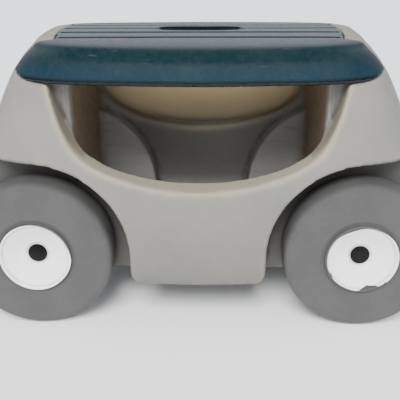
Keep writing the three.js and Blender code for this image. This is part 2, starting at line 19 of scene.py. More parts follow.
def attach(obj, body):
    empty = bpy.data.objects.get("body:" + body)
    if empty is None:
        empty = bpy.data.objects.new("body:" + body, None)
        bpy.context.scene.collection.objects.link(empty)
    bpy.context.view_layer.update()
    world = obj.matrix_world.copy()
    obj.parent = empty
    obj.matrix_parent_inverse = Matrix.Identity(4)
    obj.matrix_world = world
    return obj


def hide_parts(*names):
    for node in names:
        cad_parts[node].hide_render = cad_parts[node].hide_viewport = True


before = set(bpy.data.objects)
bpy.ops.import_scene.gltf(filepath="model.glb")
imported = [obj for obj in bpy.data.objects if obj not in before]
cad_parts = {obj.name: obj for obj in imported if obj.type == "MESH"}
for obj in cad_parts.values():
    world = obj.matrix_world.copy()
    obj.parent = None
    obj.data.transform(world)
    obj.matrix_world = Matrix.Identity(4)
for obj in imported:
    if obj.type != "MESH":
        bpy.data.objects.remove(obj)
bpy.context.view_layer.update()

LOG = logging.getLogger("garden_seat")
FAR = 0.4  # further out than any face of the seat, for cuts that run out of it
OVERRUN = 0.04  # how far other cuts run past the faces that they open
BODY_FACETS, CORE_FACETS, LID_FACETS, SLOT_FACETS, GROOVE_FACETS = 224, 160, 256, 128, 48
WHEEL_FACETS, CAP_FACETS, SPACER_FACETS, AXLE_FACETS, HOLE_FACETS = 144, 96, 64, 48, 24

AXLE_X, WHEEL_RADIUS = 0.182, 0.087  # where the axles are; the wheels stand on the ground
AXLE_BORE, CAP_RADIUS = 0.006, 0.0108
WELL_PLANE = 0.094  # inner wall of the wheel wells
UNDERSIDE, BAY_FLOOR, BAY_HALF_LENGTH = 0.049, 0.078, 0.143
RAIL_HALF_WIDTH = 0.060  # of the tub's end rails, between the lid's ears

Level = Callable[[float], Vector]
Colour = tuple[float, float, float, float]
Band = tuple[float, float]


# ---- Places and names ----


class Corner(Enum):
    """A corner of the seat: its name, its side along X and its side along Y."""

    FRONT_RIGHT = ("front_right", 1, -1)
    FRONT_LEFT = ("front_left", 1, 1)
    REAR_RIGHT = ("rear_right", -1, -1)
    REAR_LEFT = ("rear_left", -1, 1)

    @property
    def label(self) -> str:
        """Name of the corner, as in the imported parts' names."""
        return self.value[0]

    @property
    def side_x(self) -> int:
        """1 at the front end, -1 at the rear end."""
        return self.value[1]

    @property
    def side_y(self) -> int:
        """1 on the left side, -1 on the right side."""
        return self.value[2]

    @property
    def end(self) -> str:
        """Name of the axle's end that this corner is on."""
        return self.label.split("_")[0]


class Axis(Enum):
    """The axis that a prism runs along."""

    X = "x"
    Y = "y"
    Z = "z"

    def place(self, u: float, v: float, along: float) -> Vector:
        """Put a point of an outline in space.

        Args:
            u: First coordinate of the outline.
            v: Second coordinate of the outline.
            along: Distance along this axis.

        Returns:
            The point, the outline's coordinates taken in alphabetical order of axes.
        """
        if self is Axis.X:
            return Vector((along, u, v))
        if self is Axis.Y:
            return Vector((u, along, v))
        return Vector((u, v, along))


class Body(Enum):
    """Bodies that pieces ride on."""

    TUB = "tub"

    @staticmethod
    def axle(end: str) -> str:
        """Name of the body of the axle at an end."""
        return f"{end}_axle"

    @staticmethod
    def wheel(corner: Corner) -> str:
        """Name of the body of the wheel at a corner."""
        return f"{corner.label}_wheel"


# ---- Shaping ----


def smooth_rows(rows: Sequence[Sequence[float]], steps: int) -> np.ndarray:
    """Fill a table in with smooth curves through its rows that don't overshoot them.

    Args:
        rows: Rows whose first column rises.
        steps: Rows put in for each interval.

    Returns:
        The filled table, its last row included.
    """
    table = np.array(rows, float)
    x, y = table[:, :1], table[:, 1:]
    gap = np.diff(x, axis=0)
    rise = np.diff(y, axis=0) / gap
    slope = np.vstack([rise[:1], np.zeros_like(rise[1:]), rise[-1:]])
    before, after = 2 * gap[1:] + gap[:-1], gap[1:] + 2 * gap[:-1]
    agree = rise[:-1] * rise[1:] > 0
    safe = np.where(agree, rise[:-1], 1.0), np.where(agree, rise[1:], 1.0)
    slope[1:-1] = np.where(agree, (before + after) / (before / safe[0] + after / safe[1]), 0.0)
    out = []
    for i in range(len(gap)):
        for t in np.arange(steps) / steps:
            a, b = 2 * t**3 - 3 * t**2 + 1, t**3 - 2 * t**2 + t
            c, d = 3 * t**2 - 2 * t**3, t**3 - t**2
            value = a * y[i] + b * gap[i] * slope[i] + c * y[i + 1] + d * gap[i] * slope[i + 1]
            out.append(np.concatenate([x[i] + t * gap[i], value]))
    return np.array([*out, table[-1]])


def ramp(values: np.ndarray, start: float, end: float) -> np.ndarray:
    """Rise straight from 0 to 1.

    Args:
        values: Where each corner of a mesh is along some measure.
        start: Measure at which the rise starts.
        end: Measure at which it ends, which may be the lower of the two.

    Returns:
        0 before the start, 1 beyond the end.
    """
    return np.clip((values - start) / (end - start), 0, 1)


def ridge(off: np.ndarray, width: float) -> np.ndarray:
    """1 where a distance is 0, falling off smoothly over a width."""
    return np.exp(-((off / width) ** 2))


def curve_to(
    start: tuple[float, float], bend: tuple[float, float], end: tuple[float, float], steps: int
) -> list[tuple[float, float]]:
    """Points of a curve with one steering point, its start left out.

    Args:
        start: Where the curve starts.
        bend: Where it is steered.
        end: Where it ends.
        steps: How many points.

    Returns:
        The points after the start.
    """
    points = []
    for i in range(1, steps + 1):
        t = i / steps
        a, b, c = (1 - t) ** 2, 2 * t * (1 - t), t * t
        points.append(tuple(a * p + b * q + c * r for p, q, r in zip(start, bend, end)))
    return points


def loft(levels: Sequence[Level], facets: int) -> bmesh.types.BMesh:
    """Draw one ring up through a stack of levels and close both ends.

    Args:
        levels: For each level, where a corner at a given turn round the ring lies.
        facets: Corners round the ring.

    Returns:
        A closed shape.
    """
    bm = bmesh.new()
    turn = bm.verts.layers.float.new("turn")
    ring = bmesh.ops.create_circle(bm, cap_ends=False, segments=facets, radius=1.0)["verts"]
    for vert in ring:
        vert[turn] = math.atan2(vert.co.y, vert.co.x)
        vert.co = levels[0](vert[turn])
    edges = bm.edges[:]
    bmesh.ops.contextual_create(bm, geom=edges)
    for level in levels[1:]:
        grown = bmesh.ops.extrude_edge_only(bm, edges=edges)["geom"]
        verts = {item for item in grown if isinstance(item, bmesh.types.BMVert)}
        for vert in verts:
            vert.co = level(vert[turn])
        edges = [
            item for item in grown
            if isinstance(item, bmesh.types.BMEdge) and verts.issuperset(item.verts)
        ]
    bmesh.ops.contextual_create(bm, geom=edges)
    bmesh.ops.recalc_face_normals(bm, faces=bm.faces)
    return bm


def prism(
    outline: Sequence[tuple[float, float]], axis: Axis, low: float, high: float
) -> bmesh.types.BMesh:
    """Push an outline along an axis into a closed bar.

    Args:
        outline: Corners of the outline in order.
        axis: The axis that the bar runs along.
        low: Where the bar starts.
        high: Where it ends.

    Returns:
        The closed bar.
    """
    bm = bmesh.new()
    face = bm.faces.new([bm.verts.new(axis.place(u, v, low)) for u, v in outline])
    grown = bmesh.ops.extrude_face_region(bm, geom=[face])["geom"]
    moved = [item for item in grown if isinstance(item, bmesh.types.BMVert)]
    bmesh.ops.translate(bm, verts=moved, vec=axis.place(0, 0, high - low))
    bmesh.ops.recalc_face_normals(bm, faces=bm.faces)
    return bm


def bar(radius: float, axis: Axis, centre: Vector, length: float, facets: int) -> bmesh.types.BMesh:
    """Make a closed round bar.

    Args:
        radius: Its radius.
        axis: The axis that it runs along.
        centre: Its middle.
        length: Its length.
        facets: Sides round it.

    Returns:
        The bar.
    """
    turns = {
        Axis.X: Matrix.Rotation(math.pi / 2, 4, "Y"),
        Axis.Y: Matrix.Rotation(math.pi / 2, 4, "X"),
        Axis.Z: Matrix.Identity(4),
    }
    bm = bmesh.new()
    bmesh.ops.create_cone(
        bm, cap_ends=True, segments=facets, radius1=radius, radius2=radius, depth=length,
        matrix=Matrix.Translation(centre) @ turns[axis],
    )
    return bm


def mirrored(bm: bmesh.types.BMesh, axes: str) -> bmesh.types.BMesh:
    """Add the mirror images of a shape across the named axes.

    Args:
        bm: The shape, which is changed.
        axes: Axes to mirror along, such as "XY".

    Returns:
        The same shape with its images.
    """
    for axis in axes:
        geom = bm.verts[:] + bm.edges[:] + bm.faces[:]
        bmesh.ops.mirror(bm, geom=geom, axis=axis, merge_dist=-1.0)
    bmesh.ops.recalc_face_normals(bm, faces=bm.faces)
    return bm


@dataclass(frozen=True)
class Bend:
    """A corner of a turned profile: its radius, its place along the axis and its rounding."""

    radius: float
    along: float
    ease: float = 0.0


def turned(
    profile: Sequence[Bend], centre: Vector, side_y: int, steps: int = 128
) -> bmesh.types.BMesh:
    """Turn a profile about an axis along Y, and round its marked corners.

    Args:
        profile: Corners in order; the last joins the first unless both lie on the axis.
        centre: Where the profile's axis starts.
        side_y: 1 or -1, the side that the profile's own axis points to.
        steps: Sides round the shape.

    Returns:
        The turned shape.
    """
    bm = bmesh.new()
    mark = bm.verts.layers.int.new("corner")
    verts = []
    for i, bend in enumerate(profile):
        vert = bm.verts.new(centre + Vector((0, side_y * bend.along, bend.radius)))
        vert[mark] = i + 1
        verts.append(vert)
    joins = list(zip(verts, verts[1:]))
    if profile[0].radius > 0 or profile[-1].radius > 0:
        joins.append((verts[-1], verts[0]))
    edges = [bm.edges.new(pair) for pair in joins]
    bmesh.ops.spin(
        bm, geom=verts + edges, cent=centre, axis=(0, 1, 0), angle=2 * math.pi, steps=steps,
        use_merge=True,
    )
    bmesh.ops.remove_doubles(bm, verts=bm.verts, dist=1e-6)
    for i, bend in enumerate(profile):
        if bend.ease <= 0:
            continue
        rim = [e for e in bm.edges if all(v[mark] == i + 1 for v in e.verts)]
        bmesh.ops.bevel(
            bm, geom=rim, offset=bend.ease, offset_type="OFFSET", segments=4, profile=0.5,
            affect="EDGES", material=-1, clamp_overlap=True,
        )
    bmesh.ops.recalc_face_normals(bm, faces=bm.faces)
    return bm


class Workpiece:
    """A mesh under work: shapes are cut from it, and it is remeshed and eased."""

    def __init__(self, name: str, bm: bmesh.types.BMesh) -> None:
        """Start from a closed shape.

        Args:
            name: Name of the piece.
            bm: The shape, which is freed.
        """
        mesh = bpy.data.meshes.new(name)
        bm.to_mesh(mesh)
        bm.free()
        self.object = bpy.data.objects.new(name, mesh)
        bpy.context.scene.collection.objects.link(self.object)

    def settle(self) -> "Workpiece":
        """Make what the modifiers show the mesh itself."""
        shown = self.object.evaluated_get(bpy.context.evaluated_depsgraph_get())
        mesh = bpy.data.meshes.new_from_object(shown)
        self.object.modifiers.clear()
        old, self.object.data = self.object.data, mesh
        bpy.data.meshes.remove(old)
        return self

    def combine(self, operation: str, bm: bmesh.types.BMesh) -> "Workpiece":
        """Cut a shape from the piece, or keep only what lies in it.

        Args:
            operation: DIFFERENCE, INTERSECT or UNION.
            bm: The shape, which is freed.

        Returns:
            This piece.
        """
        tool = Workpiece("tool", bm)
        cut = self.object.modifiers.new("cut", "BOOLEAN")
        cut.operation, cut.solver, cut.object = operation, "EXACT", tool.object
        self.settle()
        tool.drop()
        return self

    def cut(self, *shapes: bmesh.types.BMesh) -> "Workpiece":
        """Cut shapes from the piece, one after the other."""
        for shape in shapes:
            self.combine("DIFFERENCE", shape)
        return self

    def drop(self) -> None:
        """Remove the piece's object and mesh."""
        mesh = self.object.data
        bpy.data.objects.remove(self.object)
        bpy.data.meshes.remove(mesh)

    def to_bmesh(self) -> bmesh.types.BMesh:
        """Hand the piece over as a shape and remove its object."""
        bm = bmesh.new()
        bm.from_mesh(self.object.data)
        self.drop()
        return bm

    def remesh(self, voxel: float) -> "Workpiece":
        """Cover the piece with an even mesh of faces of a given size."""
        skin = self.object.modifiers.new("even", "REMESH")
        skin.mode, skin.voxel_size, skin.adaptivity = "VOXEL", voxel, 0.0
        return self.settle()

    def ease(self, rounds: int, weights: np.ndarray | None = None) -> "Workpiece":
        """Round the piece's edges off.

        Args:
            rounds: How often its corners are drawn towards their neighbours.
            weights: How strongly each corner is drawn, or None for all alike.

        Returns:
            This piece.
        """
        smooth = self.object.modifiers.new("ease", "SMOOTH")
        smooth.factor, smooth.iterations = 0.5, rounds
        if weights is not None:
            group, steps = self.object.vertex_groups.new(name="ease"), 8
            level = np.round(weights * steps).astype(int)
            for step in range(1, steps + 1):
                chosen = np.flatnonzero(level == step)
                if len(chosen):
                    group.add(chosen.tolist(), step / steps, "REPLACE")
            smooth.vertex_group = group.name
        self.settle()
        self.object.vertex_groups.clear()
        return self

    def read(self, kind: str = "co") -> np.ndarray:
        """Places ("co") or normals ("normal") of the mesh's corners, one row each."""
        vertices = self.object.data.vertices
        out = np.zeros(3 * len(vertices), np.float32)
        vertices.foreach_get(kind, out)
        return out.reshape(-1, 3)

    def mark(self, name: str, values: np.ndarray) -> "Workpiece":
        """Keep a number or a place for each corner as an attribute of the mesh."""
        kind, field = ("FLOAT", "value") if values.ndim == 1 else ("FLOAT_VECTOR", "vector")
        made = self.object.data.attributes.new(name, kind, "POINT")
        made.data.foreach_set(field, values.astype(np.float32).ravel())
        return self

    def hollowness(self, spread: int) -> np.ndarray:
        """How hollow the surface is at each corner.

        Args:
            spread: How often the values are evened out among neighbours.

        Returns:
            Above 0 in hollows, below 0 on edges, about 1 at the sharpest.
        """
        mesh = self.object.data
        co, normal = self.read().astype(float), self.read("normal")
        ends = np.zeros(2 * len(mesh.edges), np.int32)
        mesh.edges.foreach_get("vertices", ends)
        a, b = ends.reshape(-1, 2).T
        count = np.bincount(a, minlength=len(co)) + np.bincount(b, minlength=len(co)) + 1e-9

        def around(values: np.ndarray) -> np.ndarray:
            """Mean of each corner's neighbours."""
            total = np.bincount(a, values[b], len(co)) + np.bincount(b, values[a], len(co))
            return total / count

        middle = np.stack([around(co[:, k]) for k in range(3)], axis=1)
        size = np.linalg.norm(co[a] - co[b], axis=1).mean()
        bend = np.einsum("ij,ij->i", middle - co, normal) / size
        for _ in range(spread):
            bend = 0.4 * bend + 0.6 * around(bend)
        return np.clip(bend * 8.0, -1.0, 1.0)

    def finish(
        self, material: bpy.types.Material, body: str, slot: str, sharp: float = 40.0
    ) -> bpy.types.Object:
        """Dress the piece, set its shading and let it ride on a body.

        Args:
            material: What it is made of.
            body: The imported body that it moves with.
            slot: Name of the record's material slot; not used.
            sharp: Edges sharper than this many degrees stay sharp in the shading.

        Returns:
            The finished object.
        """
        mesh = self.object.data
        mesh.materials.clear()
        mesh.materials.append(material)
        mesh.polygons.foreach_set("use_smooth", [True] * len(mesh.polygons))
        mesh.set_sharp_from_angle(angle=math.radians(sharp))
        mesh.update()
        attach(self.object, body)
        triangles = sum(len(p.vertices) - 2 for p in mesh.polygons)
        LOG.info("%s: %d triangles, rides on %s", self.object.name, triangles, body)
        return self.object


# ---- Finishes ----


def tint(red: int, green: int, blue: int) -> Colour:
    """Turn a display colour from 0 to 255 into the colour that a shader takes."""
    def linear(value: int) -> float:
        """One channel of it."""
        share = value / 255
        return share / 12.92 if share <= 0.04045 else ((share + 0.055) / 1.055) ** 2.4
    return (linear(red), linear(green), linear(blue), 1.0)


class Bench:
    """Short calls that lay out nodes in a tree."""

    def __init__(self, tree: bpy.types.NodeTree) -> None:
        """Take the tree to work in."""
        self.tree = tree

    def feed(self, socket: bpy.types.NodeSocket, value: object) -> None:
        """Link a socket to another one, or set its own value."""
        if isinstance(value, bpy.types.NodeSocket):
            self.tree.links.new(value, socket)
        else:
            socket.default_value = value

    def node(
        self, kind: str, inputs: dict[str | int, object] | None = None, **settings: object
    ) -> bpy.types.Node:
        """Add a node.

        Args:
            kind: Its type.
            inputs: Values or sockets for its inputs, by name or number.
            settings: Its own settings.

        Returns:
            The node.
        """
        made = self.tree.nodes.new(kind)
        for key, value in settings.items():
            setattr(made, key, value)
        for key, value in (inputs or {}).items():
            self.feed(made.inputs[key], value)
        return made

    def math(
        self, operation: str, a: object, b: object = 0.0, c: object = 0.0
    ) -> bpy.types.NodeSocket:
        """Work out a number from up to three others."""
        return self.node("ShaderNodeMath", {0: a, 1: b, 2: c}, operation=operation).outputs[0]

    def times(self, a: object, b: object) -> bpy.types.NodeSocket:
        """Multiply two numbers."""
        return self.math("MULTIPLY", a, b)

    def blend(self, a: object, b: object, c: object) -> bpy.types.NodeSocket:
        """Multiply two numbers and add a third."""
        return self.math("MULTIPLY_ADD", a, b, c)

    def attribute(self, name: str, output: str = "Fac") -> bpy.types.NodeSocket:
        """What the mesh keeps for each of its corners under a name."""
        return self.node("ShaderNodeAttribute", attribute_name=name).outputs[output]

    def place(self) -> bpy.types.NodeSocket:
        """Place on the piece, in its own coordinates."""
        return self.node("ShaderNodeTexCoord").outputs["Object"]

    def parts(self, vector: bpy.types.NodeSocket) -> bpy.types.bpy_prop_collection:
        """The X, Y and Z of a vector."""
        return self.node("ShaderNodeSeparateXYZ", {"Vector": vector}).outputs

    def span(
        self, value: object, low: float, high: float, to_low: float = 0.0, to_high: float = 1.0
    ) -> bpy.types.NodeSocket:
        """Carry a value smoothly from one range to another, held at its ends."""
        ends = {"From Min": low, "From Max": high, "To Min": to_low, "To Max": to_high}
        inputs = {"Value": value, **ends}
        ranged = self.node("ShaderNodeMapRange", inputs, interpolation_type="SMOOTHSTEP")
        return ranged.outputs["Result"]

    def mix(self, share: object, a: object, b: object, way: str = "MIX") -> bpy.types.NodeSocket:
        """Mix two colours.

        Args:
            share: How much of the second.
            a: The first colour.
            b: The second colour.
            way: How they are mixed.

        Returns:
            The mixed colour.
        """
        mixed = self.node("ShaderNodeMix", data_type="RGBA", blend_type=way)
        self.feed(mixed.inputs[0], share)
        self.feed(mixed.inputs[6], a)
        self.feed(mixed.inputs[7], b)
        return mixed.outputs[2]

    def coats(self, colour: object, *layers: tuple[object, float, object]) -> object:
        """Lay colours over one another.

        Args:
            colour: The lowest colour.
            layers: For each further one its mask, how much of it the mask lets on, and itself.

        Returns:
            The colour with all of them on it.
        """
        for mask, share, over in layers:
            colour = self.mix(self.times(mask, share), colour, over)
        return colour

    def noise(
        self, vector: object, scale: object, detail: float = 3.0, roughness: float = 0.5
    ) -> bpy.types.NodeSocket:
        """Cloudy values from 0 to 1."""
        made = self.node(
            "ShaderNodeTexNoise",
            {"Vector": vector, "Scale": scale, "Detail": detail, "Roughness": roughness},
        )
        return made.outputs["Fac"]

    def dress(
        self, shader: bpy.types.Node, colour: object, rough: object, height: object,
        strength: float, depth: float,
    ) -> None:
        """Feed a shader what changes over its surface.

        Args:
            shader: The shader.
            colour: Its colour.
            rough: Its roughness.
            height: Height pattern that tilts its normals.
            strength: How strongly it does so.
            depth: How deep the pattern is, in metres.
        """
        self.feed(shader.inputs["Base Color"], colour)
        self.feed(shader.inputs["Roughness"], rough)
        inputs = {"Height": height, "Strength": strength, "Distance": depth}
        self.feed(shader.inputs["Normal"], self.node("ShaderNodeBump", inputs).outputs["Normal"])

    def stretched(
        self, vector: object, scale: tuple[float, float, float],
        turn: tuple[float, float, float] = (0.0, 0.0, 0.0),
    ) -> bpy.types.NodeSocket:
        """Stretch and turn the coordinates that a pattern reads."""
        made = self.node("ShaderNodeMapping", {"Vector": vector, "Rotation": turn, "Scale": scale})
        return made.outputs["Vector"]


class Effect(Enum):
    """Effects that more than one finish uses, each a node group."""

    GRAIN = "Moulded grain"
    MOTTLE = "Uneven colour"
    SCRATCHES = "Fine scratches"
    SOIL = "Soil in hollows"

    def group(self) -> bpy.types.NodeTree:
        """The effect's node group, built on its first use."""
        found = bpy.data.node_groups.get(self.value)
        if found:
            return found
        tree = bpy.data.node_groups.new(self.value, "ShaderNodeTree")
        builders = {
            Effect.GRAIN: _build_grain,
            Effect.MOTTLE: _build_mottle,
            Effect.SCRATCHES: _build_scratches,
            Effect.SOIL: _build_soil_and_shade,
        }
        builders[self](tree)
        return tree

    def use(self, bench: Bench, **inputs: object) -> bpy.types.bpy_prop_collection:
        """Place the effect in a tree.

        Args:
            bench: Where it goes.
            inputs: Values or sockets for its inputs.

        Returns:
            The group's outputs.
        """
        return bench.node("ShaderNodeGroup", inputs, node_tree=self.group()).outputs


def _open_group(
    tree: bpy.types.NodeTree, floats: dict[str, float], outputs: Sequence[str]
) -> tuple[Bench, bpy.types.bpy_prop_collection, bpy.types.bpy_prop_collection]:
    """Give a group its sockets.

    Args:
        tree: The group.
        floats: Its number inputs and their first values, after the Vector input.
        outputs: Its number outputs.

    Returns:
        A bench in the group, what comes into it and what leaves it.
    """
    tree.interface.new_socket("Vector", in_out="INPUT", socket_type="NodeSocketVector")
    for name, value in floats.items():
        socket = tree.interface.new_socket(name, in_out="INPUT", socket_type="NodeSocketFloat")
        socket.default_value = value
    for name in outputs:
        tree.interface.new_socket(name, in_out="OUTPUT", socket_type="NodeSocketFloat")
    entry, leave = tree.nodes.new("NodeGroupInput"), tree.nodes.new("NodeGroupOutput")
    return Bench(tree), entry.outputs, leave.inputs


def _build_grain(tree: bpy.types.NodeTree) -> None:
    """Fine pebbled grain of a moulding, on slow waves of its wall."""
    sizes = {"Scale": 900.0, "Waves": 45.0, "Swell": 1.0}
    bench, entry, leave = _open_group(tree, sizes, ["Height"])
    fine = bench.noise(entry["Vector"], entry["Scale"], 2.0, 0.6)
    coarse = bench.noise(entry["Vector"], entry["Waves"], 1.0, 0.4)
    height = bench.blend(fine, 0.35, bench.times(coarse, entry["Swell"]))
    bench.feed(leave["Height"], height)


def _build_mottle(tree: bpy.types.NodeTree) -> None:
    """Slow blotches with finer ones in them."""
    bench, entry, leave = _open_group(tree, {"Scale": 14.0}, ["Mask", "Fine"])
    slow = bench.noise(entry["Vector"], entry["Scale"], 4.0, 0.55)
    fine = bench.noise(entry["Vector"], bench.times(entry["Scale"], 9.0), 3.0, 0.6)
    bench.feed(leave["Mask"], bench.span(slow, 0.34, 0.66))
    bench.feed(leave["Fine"], bench.span(fine, 0.36, 0.68))


def _build_scratches(tree: bpy.types.NodeTree) -> None:
    """Thin broken lines in two directions, gathered in patches."""
    bench, entry, leave = _open_group(tree, {"Density": 0.5}, ["Mask"])
    vector = entry["Vector"]
    along = bench.stretched(vector, (22.0, 420.0, 420.0))
    askew = bench.stretched(vector, (26.0, 520.0, 520.0), (0.25, 0.1, 0.5))
    along, askew = (bench.noise(lines, 1.0, 2.0, 0.6) for lines in (along, askew))
    lines = bench.math("MAXIMUM", bench.span(along, 0.66, 0.74), bench.span(askew, 0.67, 0.74))
    patches = bench.span(bench.noise(vector, 17.0, 2.0, 0.5), 0.45, 0.62)
    bench.feed(leave["Mask"], bench.times(bench.times(lines, patches), entry["Density"]))


def _build_soil_and_shade(tree: bpy.types.NodeTree) -> None:
    """Darkening where the surface is hollow, from soiling and painted shade alike, broken up by
    blotches, and an edge mask where it is sharp, for wear and, on the tyres, painted light.
    """
    bench, entry, leave = _open_group(tree, {"Hollow": 0.0, "Scale": 60.0}, ["Mask", "Worn"])
    cloud = bench.noise(entry["Vector"], entry["Scale"], 4.0, 0.6)
    broken = bench.span(cloud, 0.35, 0.65, 0.45, 1.0)
    hollow = bench.span(entry["Hollow"], 0.08, 0.6)
    edge = bench.span(bench.times(entry["Hollow"], -1.0), 0.1, 0.7)
    bench.feed(leave["Mask"], bench.times(hollow, broken))
    bench.feed(leave["Worn"], bench.times(edge, broken))


def _open_material(name: str) -> tuple[bpy.types.Material, Bench, bpy.types.Node]:
    """Start a material.

    Args:
        name: Its name.

    Returns:
        The material, a bench in its tree, and its shader.
    """
    material = bpy.data.materials.new(name)
    material.use_nodes = True
    material.node_tree.nodes.clear()
    bench = Bench(material.node_tree)
    shader = bench.node("ShaderNodeBsdfPrincipled")
    output = bench.node("ShaderNodeOutputMaterial")
    material.node_tree.links.new(shader.outputs[0], output.inputs["Surface"])
    return material, bench, shader


@dataclass(frozen=True)
class StonePlastic:
    """Stone-coloured moulded plastic of the tub.

    It is warmer on worn edges and along the near sill, painted with warm light on the bay's
    end walls and painted lighter inside the bay, where it has rubbed smudges. It is darker in
    hollows, from soiling and painted shade, painted with shade in the wheel wells, underneath
    and on the near jambs, and darker towards the bottom. It lets light through the web, which
    is painted lighter as if glowing, as is the far sill's lip.
    """

    base: Colour = tint(116, 115, 112)
    warm: Colour = tint(145, 139, 120)
    # a lighter, lit copy of the plastic: painted light inside the bay
    inner: Colour = tint(160, 158, 152)
    # painted warm light for the bay's end walls
    amber: Colour = tint(138, 119, 98)
    dirt_and_shade: Colour = tint(66, 61, 54)
    # painted lighter colour for the translucent web and the far sill's lip, as if glowing
    painted_glow: Colour = tint(166, 158, 142)
    glow_reach: tuple[float, float, float] = (1.0, 0.88, 0.70)
    glow_scale: float = 0.020
    wear: float = 0.35
    roughness: float = 0.52
    grain_depth: float = 0.00010
    ior: float = 1.49

    def build(self) -> bpy.types.Material:
        """Lay out the material."""
        material, bench, shader = _open_material("stone_plastic")
        place, sill_warmth_and_end_light, thin = bench.place(), bench.attribute("sill_warmth_and_end_light"), bench.attribute("thin")
        mottle = Effect.MOTTLE.use(bench, Vector=place, Scale=11.0)
        soil_and_shade = Effect.SOIL.use(bench, Vector=place, Hollow=bench.attribute("hollow"), Scale=55.0)
        marks = Effect.SCRATCHES.use(bench, Vector=place, Density=0.35)
        grain = Effect.GRAIN.use(bench, Vector=place, Scale=1100.0, Waves=38.0)
        warm = bench.blend(soil_and_shade["Worn"], self.wear, bench.blend(mottle["Mask"], 0.22, sill_warmth_and_end_light))
        colour = bench.mix(bench.math("MINIMUM", warm, 1.0), self.base, self.warm)
        # painted warm light on the bay's end walls, where the mask is full
        colour = bench.mix(bench.span(sill_warmth_and_end_light, 0.75, 1.0), colour, self.amber)
        smears = bench.noise(bench.stretched(place, (9.0, 60.0, 120.0)), 1.0, 4.0, 0.6)
        # painted light inside the bay: a lighter copy of the plastic, with real smudges on it
        smeared = bench.mix(bench.span(smears, 0.50, 0.80, 0.0, 0.3), self.inner, self.dirt_and_shade)
        colour = bench.mix(bench.attribute("within"), colour, smeared)
        # darker in hollows: soiling and painted shade
        dust_and_hollow_shade = bench.blend(mottle["Fine"], 0.05, soil_and_shade["Mask"])
        colour = bench.coats(colour, (dust_and_hollow_shade, 0.55, self.dirt_and_shade), (marks["Mask"], 0.5, self.dirt_and_shade))
        # painted shade in the wheel wells, underneath and on the near jambs; darker low down
        darker_copy = bench.mix(0.7, colour, self.dirt_and_shade, "MULTIPLY")
        colour = bench.mix(bench.attribute("painted_shade_and_low_dark"), colour, darker_copy)
        # painted lighter on the web and the far sill's lip, as if glowing, over the web's
        # translucence
        colour = bench.mix(thin, colour, self.painted_glow)
        rough = bench.span(mottle["Fine"], 0.0, 1.0, self.roughness - 0.05, self.roughness + 0.1)
        bench.dress(shader, colour, rough, grain["Height"], 0.6, self.grain_depth)
        bench.feed(shader.inputs["Subsurface Weight"], thin)
        shader.inputs["Subsurface Radius"].default_value = self.glow_reach
        shader.inputs["Subsurface Scale"].default_value = self.glow_scale
        shader.inputs["IOR"].default_value = self.ior
        return material


@dataclass(frozen=True)
class GreenPlastic:
    """Dark blue-green moulded lid plastic, with a painted bluer reflection below the side crease.

    It is chalked and finely scratched, and painted with shade in the grooves, the slot and on
    the skirt's rolled edge.
    """

    base: Colour = tint(6, 29, 35)
    # bluer colour of the painted reflection below the crease
    low: Colour = tint(2, 32, 44)
    chalk: Colour = tint(44, 56, 57)
    worn: Colour = tint(90, 102, 102)
    shaded: Colour = tint(3, 9, 11)
    crease: float = 0.295
    wear: float = 0.15
    gloss: float = 0.32
    roughness: float = 0.27
    grain_depth: float = 0.00008
    ior: float = 1.49

    def build(self) -> bpy.types.Material:
        """Lay out the material."""
        material, bench, shader = _open_material("green_plastic")
        place = bench.place()
        mottle = Effect.MOTTLE.use(bench, Vector=place, Scale=16.0)
        soil_and_shade = Effect.SOIL.use(bench, Vector=place, Hollow=bench.attribute("hollow"), Scale=70.0)
        marks = Effect.SCRATCHES.use(bench, Vector=place, Density=0.8)
        grain = Effect.GRAIN.use(bench, Vector=place, Scale=1300.0, Waves=24.0, Swell=0.5)
        # painted reflection: bluer below the crease of the long sides
        lower = bench.span(bench.parts(place)["Z"], self.crease + 0.005, self.crease - 0.006)
        colour = bench.mix(lower, self.base, self.low)
        chalk = bench.blend(mottle["Fine"], 0.10, bench.blend(mottle["Mask"], 0.13, 0.06))
        colour = bench.mix(chalk, colour, self.chalk)
        worn, scratched = (soil_and_shade["Worn"], self.wear, self.worn), (marks["Mask"], 0.5, self.worn)
        colour = bench.coats(colour, worn, scratched)
        # painted shade in the grooves, the slot and on the skirt's rolled edge
        colour = bench.mix(bench.attribute("groove"), colour, self.shaded)
        rough = bench.span(mottle["Fine"], 0.0, 1.0, self.roughness - 0.02, self.roughness + 0.04)
        bench.dress(shader, colour, rough, grain["Height"], 0.3, self.grain_depth)
        shader.inputs["Specular IOR Level"].default_value = self.gloss
        shader.inputs["IOR"].default_value = self.ior
        return material


@dataclass(frozen=True)
class HubPaint:
    """White paint in a wheel's hub dish: how far out it reaches, turn by turn.

    The edge is given as degrees from the wheel's front, upwards, and metres from the axle.
    """

    name: str
    edge: tuple[tuple[float, float], ...]


SOUND_PAINT = HubPaint("sound", (
    (-180, 0.0404), (-140, 0.0410), (-94, 0.0408), (-74, 0.0402), (-49, 0.0394), (-23, 0.0400),
    (-4, 0.0404), (22, 0.0390), (45, 0.0386), (68, 0.0387), (93, 0.0397), (130, 0.0405),
))
CHIPPED_PAINT = HubPaint("chipped", (
    (-180, 0.0382), (-163, 0.0385), (-154, 0.0383), (-152, 0.0374), (-147, 0.0376), (-142, 0.0386),
    (-117, 0.0384), (-105, 0.0386), (-95, 0.0387), (-90, 0.0383), (-84, 0.0366), (-77, 0.0342),
    (-72, 0.0352), (-62, 0.0372), (-58, 0.0386), (-49, 0.0394), (-45, 0.0386), (-43, 0.0404),
    (-20, 0.0409), (8, 0.0409), (31, 0.0406), (47, 0.0398), (62, 0.0386), (83, 0.0371),
    (98, 0.0352), (113, 0.0344), (128, 0.0358), (144, 0.0378), (159, 0.0384),
))


